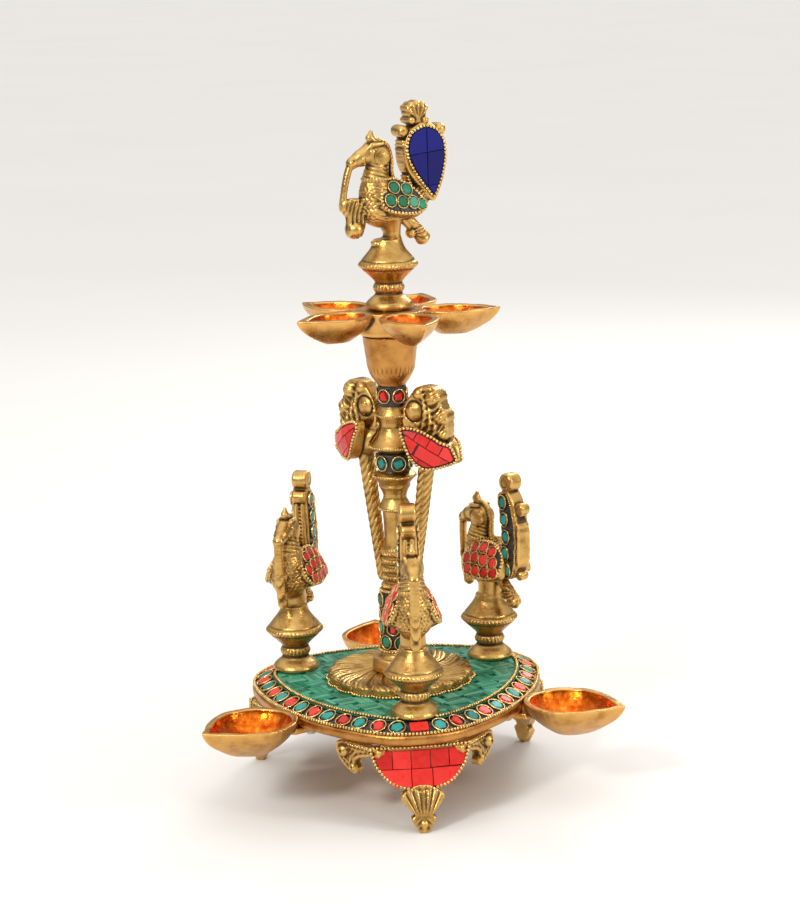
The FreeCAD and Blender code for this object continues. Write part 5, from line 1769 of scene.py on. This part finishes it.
def leg_clay():
    clay = Clay((-47.5, -91.5, -0.6), (47.5, -50.0, PLATE_LOW + 0.6), 0.45)
    lean = math.tan(math.radians(SHIELD_TILT))
    outline = shield_outline(0.0)

    def shield(x, y, z):
        flat = polygon_distance(x[:, :, 0] * 1.0, z[0, 0, :][None, :] * 1.0, outline)[:, None, :]
        bow = 1.1 * (1 - (x / SHIELD_HALF) ** 2) - 0.8
        face = (-y - SHIELD_REACH - (SHIELD_TOP - z) * lean - bow) * 0.95
        thick = np.abs(face + 2.0) - 2.0
        return np.maximum(flat, thick)

    clay.work((-26, -86, 19), (26, -70, 44.5), shield, 0.5)
    clay.slab([(-20, -76.5), (20, -76.5), (16, -66), (-16, -66)], (0, 1), PLATE_LOW - 2.3, 2.3, 1.0)
    # Ribbed fan foot, waisted above a diamond toe.
    side = [
        (3.4, 24.0), (9.6, 20.4), (11.0, 17.0), (7.2, 12.6), (4.4, 9.6), (6.4, 7.4), (4.4, 3.6), (1.8, 0.1)
    ]
    fan = loop([(-x, z) for x, z in side] + side[::-1])

    def fan_shape(x, y, z):
        flat = polygon_distance(x[:, :, 0] * 1.0, z[0, 0, :][None, :] * 1.0, fan)[:, None, :]
        reach = 83.6 + (22.0 - z) * 0.155 + 1.9 * np.sin(rise(z, 2, 20.0) * math.pi) - 0.014 * x**2
        upper = np.abs(np.cos(np.arctan2(x, z - 3.0) * 17.0)) * rise(z, 9, 3)
        toe = np.abs(np.cos(np.abs(x) * 1.1 + z * 0.9)) * fall(z, 8.6, 1.0) * 0.6
        ribs = 0.85 * (upper + toe)
        thick = np.abs(-y - reach + 2.0 - ribs * 0.5) - 2.2 - ribs * 0.5
        return np.maximum(flat, thick * 0.85)

    clay.work((-12, -90, 0), (12, -76, 25), fan_shape, 0.8)
    clay.run([(85.4, 7.0), (87.0, 4.6), (87.0, 1.2)], (1.2, 1.9, 1.1), 0.8)
    # A curled leaf under the rim on each side, engraved along its edges, with a rolled eye.
    leaf = loop(SCROLL_OUTLINE)
    for hand in (-1, 1):

        def curl(x, y, z, hand=hand):
            a, off = scroll_place(hand, x, y)
            flat = polygon_distance(a + 0 * z, z + 0 * a, leaf)
            ridge = 0.55 * np.abs(np.sin(np.minimum(-flat, 5.2) * 1.35)) + 0.12 * np.sin(2.2 * a + 1.2 * z)
            return np.maximum(flat, (np.abs(off) - 2.3 - ridge) * 0.85)

        low = (16.0, -80.0, 24.5) if hand > 0 else (-44.0, -80.0, 24.5)
        high = (44.0, -50.6, 43.6) if hand > 0 else (-16.0, -50.6, 43.6)
        clay.work(low, high, curl, 0.5)
        for a, z, radius in ((21.8, 37.6, 3.3), (15.6, 30.0, 2.2)):
            clay.ball(from_scroll(hand, a, 2.6, z), (radius, radius, radius), 0.4)
            clay.ball(from_scroll(hand, a, 2.6 + radius * 0.8, z), 1.0, 0.2, carve=True)
    ceiling = PLATE_LOW - 0.02
    clay.work(
        (-48, -92, ceiling), (48, -49, ceiling + 3), lambda x, y, z: (ceiling - z) + 0 * x * y, carve=True
    )
    clay.work((-48, -92, -3), (48, -49, 0.1), lambda x, y, z: (z - 0.0) + 0 * x * y, carve=True)

    return clay


def build_legs():
    clay = leg_clay()
    points, faces, hollow = clay.skin()
    red, beads, bed = Pile(), Pile(), Pile()
    border = shield_outline(0.35)
    path = np.array([on_shield(x, z, 0.8) for x, z in evenly(border, 0.5, True)])
    bead_string(beads, path, 0.95, True)
    for hand in (-1, 1):
        path = np.array([from_scroll(hand, a, 2.9, 41.7) for a in np.linspace(3.0, 18.0, 40)])
        bead_string(beads, path, 0.8)
    field = list(shield_outline(2.0))
    rows = ((32.4, 50.0, (-14.4, -5.0, 4.8, 14.4)), (0.0, 32.4, (-5.2, 5.6)))
    for low, high, cuts in rows:
        edges = (-40.0,) + cuts + (40.0,)
        for start, end in zip(edges[:-1], edges[1:]):
            shift = rng.uniform(-0.3, 0.3, 4)
            cell = [
                (start + TILE_JOINT, low + TILE_JOINT + shift[0] * (low > 1)),
                (end - TILE_JOINT, low + TILE_JOINT + shift[1] * (low > 1)),
                (end - TILE_JOINT, high - TILE_JOINT - abs(shift[2])),
                (start + TILE_JOINT, high - TILE_JOINT - abs(shift[3]))
            ]
            cut_tile(red, field, cell, on_shield, 1.25, 0.2)
    lac_sheet(bed, shield_outline(1.2), on_shield, 0.12, (1.0, 0.5))
    for name, angle in CORNERS:
        place = turned(angle)
        cast("foot_casting_" + name, "base", BRASS, place(points), faces, "leg_" + name, hollow=hollow)
        emit(
            "foot_tiles_" + name, "base", CORAL, place(np.array(red.points)), red.faces,
            ("leg_tiles_" + name,), "coral_stone", False, tone=red.tones
        )
    angles = [angle for _, angle in CORNERS]
    emit_pile("foot_bead_borders", "base", "wire", repeated(beads, angles), "leg_beads")
    emit_pile("foot_lac_beds", "base", "lac", repeated(bed, angles))


# ------------------------------------------------------------------ brackets


LEAF_SPLAY = math.radians(23.0)
LEAF_X, LEAF_REACH = 13.6, 12.0


def shield_leaf(inset=0.0):
    """The bracket's leaf shield, out from the stem and up: hollow above, blunt at its tip."""
    corners = [
        (0.4, 194.0), (2.4, 185.6), (5.8, 178.0), (11.0, 173.2), (15.6, 172.5), (21.5, 173.6), (29.2, 176.4),
        (28.6, 180.6), (26.4, 185.2), (21.5, 187.2), (17.0, 190.2), (8.9, 193.8)
    ]
    return shrunk(loop(corners), inset)


def leaf_dome(s, z):
    return 2.6 * np.maximum(0.0, 1 - ((s - 13.6) / 16.0) ** 2 - ((z - 183.0) / 11.6) ** 2)


def on_leaf(side, s, z, lift):
    """A point on a bracket's shield: s out from the stem, raised by a lift."""
    c, n = math.cos(LEAF_SPLAY), math.sin(LEAF_SPLAY)
    away = float(leaf_dome(s, z)) + lift
    return np.array([side * (LEAF_X - n * s + c * away), -(LEAF_REACH + c * s + n * away), z])


def bracket_clay():
    clay = Clay((-17.5, -42.0, 105.5), (17.5, -4.0, 217.5), 0.42)

    # Twisted bar: six strands wound on a core, wider towards the shields.
    low, high = at(10.4, 110.2), at(20.6, 178.0)
    clay.run([(10.4, 110.2), (20.6, 178.0)], (2.9, 4.3), 0.4)
    run = high - low
    unit = run / np.linalg.norm(run)

    def twist(x, y, z):
        along = (y - low[1]) * unit[1] + (z - low[2]) * unit[2]
        across = (y - low[1]) * unit[2] - (z - low[2]) * unit[1]
        turn = np.arctan2(x + 0 * across, across + 0 * x)
        fade = fall(np.sqrt(x * x + across**2), 6.4, 1.0) * fall(along, 66.0, 4)
        return fade * 0.50 * (np.abs(np.sin(3.0 * turn + math.pi * along / 4.2)) - 0.6)

    clay.relief((-6, -26, 107), (6, -4, 177), twist)
    clay.ball(at(10.0, 109.6), (2.6, 2.6, 2.4), 0.6)
    # Body behind the shields, the arm to the stem, the head and the plume with its rolls.
    clay.ball(at(19.0, 183.6), (8.6, 11.5, 9.0), 1.5)
    clay.run([(8.0, 191.4), (13.0, 190.6), (19.0, 188.0)], (3.0, 3.6, 4.4), 1.4, wide=1.2)
    clay.run([(20.6, 176.0), (19.0, 184.0), (16.4, 195.0)], (4.2, 5.4, 5.0), 1.5)
    plume = loop([
        (8.8, 193.0), (8.9, 202.0), (13.6, 210.4), (20.0, 214.9), (28.4, 213.6), (31.6, 206.0),
        (34.6, 198.4), (34.2, 190.0), (28.0, 186.4), (18.0, 187.0)
    ])
    clay.plate(plume, 4.4, 1.0, 1.2)
    clay.roll(26.6, 209.0, 2.4, 4.6, 0.6)
    clay.roll(31.0, 199.4, 2.4, 4.3, 0.6)
    clay.roll(31.4, 190.4, 2.2, 3.4, 0.6)
    clay.roll(18.4, 211.0, 2.8, 3.4, 0.6)
    for x in (-1, 1):
        clay.ball(at(15.6, 201.6, 2.6 * x), (3.6, 5.4, 5.6), 0.5)
        clay.ball(at(14.6, 203.0, 5.8 * x), (0.8, 1.5, 1.5), 0.2)
        ring = [(15.6 + 5.3 * math.cos(t / 3.0), 201.6 + 5.5 * math.sin(t / 3.0), 4.3 * x) for t in range(20)]
        clay.run(ring, 0.5, 0.2, 0.2, carve=True)
        for start, mid, end in (
            ((21.0, 210.0), (22.6, 201.0), (20.0, 191.0)), ((24.4, 204.0), (25.6, 197.0), (23.6, 189.4)),
            ((28.0, 200.0), (28.2, 193.6), (26.4, 188.4))
        ):
            clay.run([(*start, 4.2 * x), (*mid, 4.5 * x), (*end, 4.6 * x)], (0.8, 1.3, 0.9), 0.9, 0.6)
    c, n = math.cos(LEAF_SPLAY), math.sin(LEAF_SPLAY)
    leaf = shield_leaf(0.0)
    for side in (-1, 1):

        def plate(x, y, z, side=side):
            dx, dr = x * side - LEAF_X, -y - LEAF_REACH
            s = -n * dx + c * dr
            away = c * dx + n * dr
            flat = polygon_distance(s + 0 * z, z + 0 * s, leaf)
            return np.maximum(flat, np.maximum(away - leaf_dome(s, z), -away - 4.0))

        near, far = (0.5, 17.4) if side > 0 else (-17.4, -0.5)
        clay.work((near, -41.5, 171.5), (far, -9.0, 195.5), plate, 0.8)

    def feathers(x, y, z):
        reach = -y
        fade = rise(z, 188, 3) * fall(z, 214, 2) * rise(reach, 19.5, 2)
        fade = fade * rise(np.abs(x), 3.2, 0.8)
        return fade * 0.22 * np.sin(1.9 * z - 1.5 * reach + 2.2 * np.sin(0.5 * reach))

    clay.relief((-9, -36.5, 188), (9, -18, 214), feathers)

    def crest(x, y, z):
        fade = rise(-y, 7.5, 1) * fall(-y, 11.5, 2) * rise(z, 196, 2)
        return fade * 0.22 * np.sin(2.6 * z + 0.8 * y)

    clay.relief((-6, -16, 195), (6, -6, 213), crest)
    # Clear of the stem: the casting bears on it only at the arm and at the bar's foot.
    stem = [
        (8.2, 104.0), (8.2, 131.0), (6.9, 140.0), (9.0, 147.4), (9.0, 160.0), (11.5, 164.6), (11.5, 168.0),
        (9.0, 169.0), (9.0, 178.0), (12.9, 180.6), (12.9, 183.0), (7.3, 192.2), (9.3, 197.4), (9.3, 199.2),
        (7.0, 202.8), (9.2, 203.6), (9.2, 214.0), (10.0, 216.5)
    ]
    for (ra, za), (rb, zb) in zip(stem[:-1], stem[1:]):

        def core(x, y, z, ra=ra, za=za, rb=rb, zb=zb):
            radius = ra + (rb - ra) * np.clip((z - za) / (zb - za), 0, 1)
            flat = np.sqrt(x * x + y * y) - radius
            return np.maximum(flat, np.maximum(za - z, z - zb))

        far = max(ra, rb)
        clay.work((-far, -far, za), (far, far, zb), core, carve=True)
    return clay


def build_brackets():
    points, faces, hollow = bracket_clay().skin()
    red, beads, bed = Pile(), Pile(), Pile()
    for side in (-1, 1):
        flank = partial(on_leaf, side)
        path = np.array([flank(s, z, 0.75) for s, z in evenly(shield_leaf(0.35), 0.5, True)])
        bead_string(beads, path, 0.92, True)
        field = list(shield_leaf(1.7))
        c, n = math.cos(math.radians(-33.0)), math.sin(math.radians(-33.0))
        for i in range(-4, 4):
            for j in range(-3, 3):
                cell = []
                nudge = 0.9 * math.sin(1.7 * i + 2.9 * j)
                for a, b in ((0, 0), (1, 0), (1, 1), (0, 1)):
                    p = 7.6 * (i + a) + TILE_JOINT * (1 - 2 * a) + (3.0 + nudge if j % 2 else 0.0)
                    q = 6.9 * (j + b) + TILE_JOINT * (1 - 2 * b) + 1.6
                    cell.append([13.0 + p * c - q * n * 0.9, 183.0 + p * n + q * c])
                cut_tile(red, field, cell, flank, 1.25, 0.2)
        lac_sheet(bed, shield_leaf(1.0), flank, 0.1, (1.0, 0.66, 0.33))
    for name, angle in BRACKET_ANGLES.items():
        place = turned(angle)
        casting = "bracket_casting_" + name
        cast(casting, "base", BRASS, place(points), faces, "bracket_" + name, hollow=hollow)
    angles = BRACKET_ANGLES.values()
    emit_pile("bracket_red_tiles", "base", "coral", repeated(red, angles), "bracket_tiles")
    emit_pile("bracket_bead_borders", "base", "wire", repeated(beads, angles), "bracket_beads")
    emit_pile("bracket_lac_beds", "base", "lac", repeated(bed, angles))


# ------------------------------------------------------------------ stage


def build_stage():
    """A pale floor, a studio sky that is bright overhead and soft lamps."""
    material, tree, main = shader("pale_floor")
    shade = ramp(tree, noise(tree, 2.0), ((0.3, (0.80, 0.79, 0.77)), (0.7, (0.82, 0.81, 0.79))))
    plug(tree, main, Base_Color=shade, Roughness=0.6, Specular_IOR_Level=0.2)
    mesh = bpy.data.meshes.new("floor")
    half = 40.0
    mesh.from_pydata(
        [(-half, -half, 0), (half, -half, 0), (half, half, 0), (-half, half, 0)], [], [(0, 1, 2, 3)]
    )
    mesh.materials.append(material)
    floor = bpy.data.objects.new("floor", mesh)
    bpy.context.scene.collection.objects.link(floor)

    world = bpy.data.worlds.new("studio")
    world.use_nodes = True
    sky = world.node_tree
    height = new_node(sky, "SeparateXYZ", "Z", Vector=new_node(sky, "TexCoord", "Generated"))
    warm = ((0.0, (0.24, 0.215, 0.18)), (0.20, (0.30, 0.28, 0.25)))
    pale = ((0.5, (1.0, 0.985, 0.96)), (1.0, (1.9, 1.88, 1.85)))
    plug(sky, sky.nodes["Background"], Color=ramp(sky, height, warm + pale), Strength=0.82)
    bpy.context.scene.world = world
    bpy.context.scene.view_settings.view_transform = "Standard"
    bpy.context.scene.view_settings.look = "None"

    target = Vector((AXIS.x, AXIS.y, 0.17))
    lights = (
        ("key", (-0.95, -1.10, 1.15), 0.32, 12.0, (1.0, 0.98, 0.94)),
        ("fill", (1.25, -0.85, 0.75), 0.30, 6.0, (1.0, 0.97, 0.93)),
        ("rim", (0.65, 1.15, 0.85), 0.45, 5.0, (1.0, 0.98, 0.95))
    )
    for name, place, size, power, colour in lights:
        lamp = bpy.data.lights.new(name, "AREA")
        lamp.shape = "DISK"
        lamp.size = size
        lamp.energy = power
        lamp.color = colour
        stand = bpy.data.objects.new(name, lamp)
        stand.location = Vector(place) + AXIS
        stand.rotation_euler = (target - stand.location).to_track_quat("-Z", "Y").to_euler()
        bpy.context.scene.collection.objects.link(stand)


def build_camera():
    """The photograph's viewpoint: a long lens, a little above, slightly left of the front foot."""
    azimuth, distance, height = math.radians(-6.68), 1.2452, 0.4460
    pitch, roll, sidestep = 0.2129, -0.0294, 0.00326
    focal, width = 2437.3, 800.0
    spin = Matrix.Rotation(azimuth, 4, "Z")
    lens = bpy.data.cameras.new("camera")
    lens.sensor_fit = "HORIZONTAL"
    lens.sensor_width = 36.0
    lens.lens = focal / width * lens.sensor_width
    lens.clip_start = 0.05
    camera = bpy.data.objects.new("camera", lens)
    bpy.context.scene.collection.objects.link(camera)
    stand = Matrix.Translation(Vector((sidestep, -distance, height)))
    look = Matrix.Rotation(math.pi / 2 - pitch, 4, "X")
    level = Matrix.Rotation(roll, 4, "Z")
    camera.matrix_world = Matrix.Translation(AXIS) @ spin @ stand @ look @ level
    bpy.context.scene.camera = camera


def dress_cad_nodes():
    """The frame's own nodes that stay in view get the same metals."""
    for name in ("tie_rod", "base_nut", "base_washer", "leg_screws", "diya_screws"):
        keep(name, STEEL)
    for name, _ in CORNERS:
        keep("bird_screw_" + name, STEEL)
    keep("finial_washer", BRASS)


def keep(name, material):
    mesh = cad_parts[name].data
    mesh.materials.clear()
    mesh.materials.append(material)
    mesh.shade_smooth()


build_plate()
build_border_stones()
build_mosaic()
build_lotus()
build_stem()
build_stem_stones()
build_diyas()
build_tray()
build_birds()
build_legs()
build_brackets()
dress_cad_nodes()
build_stage()
build_camera()
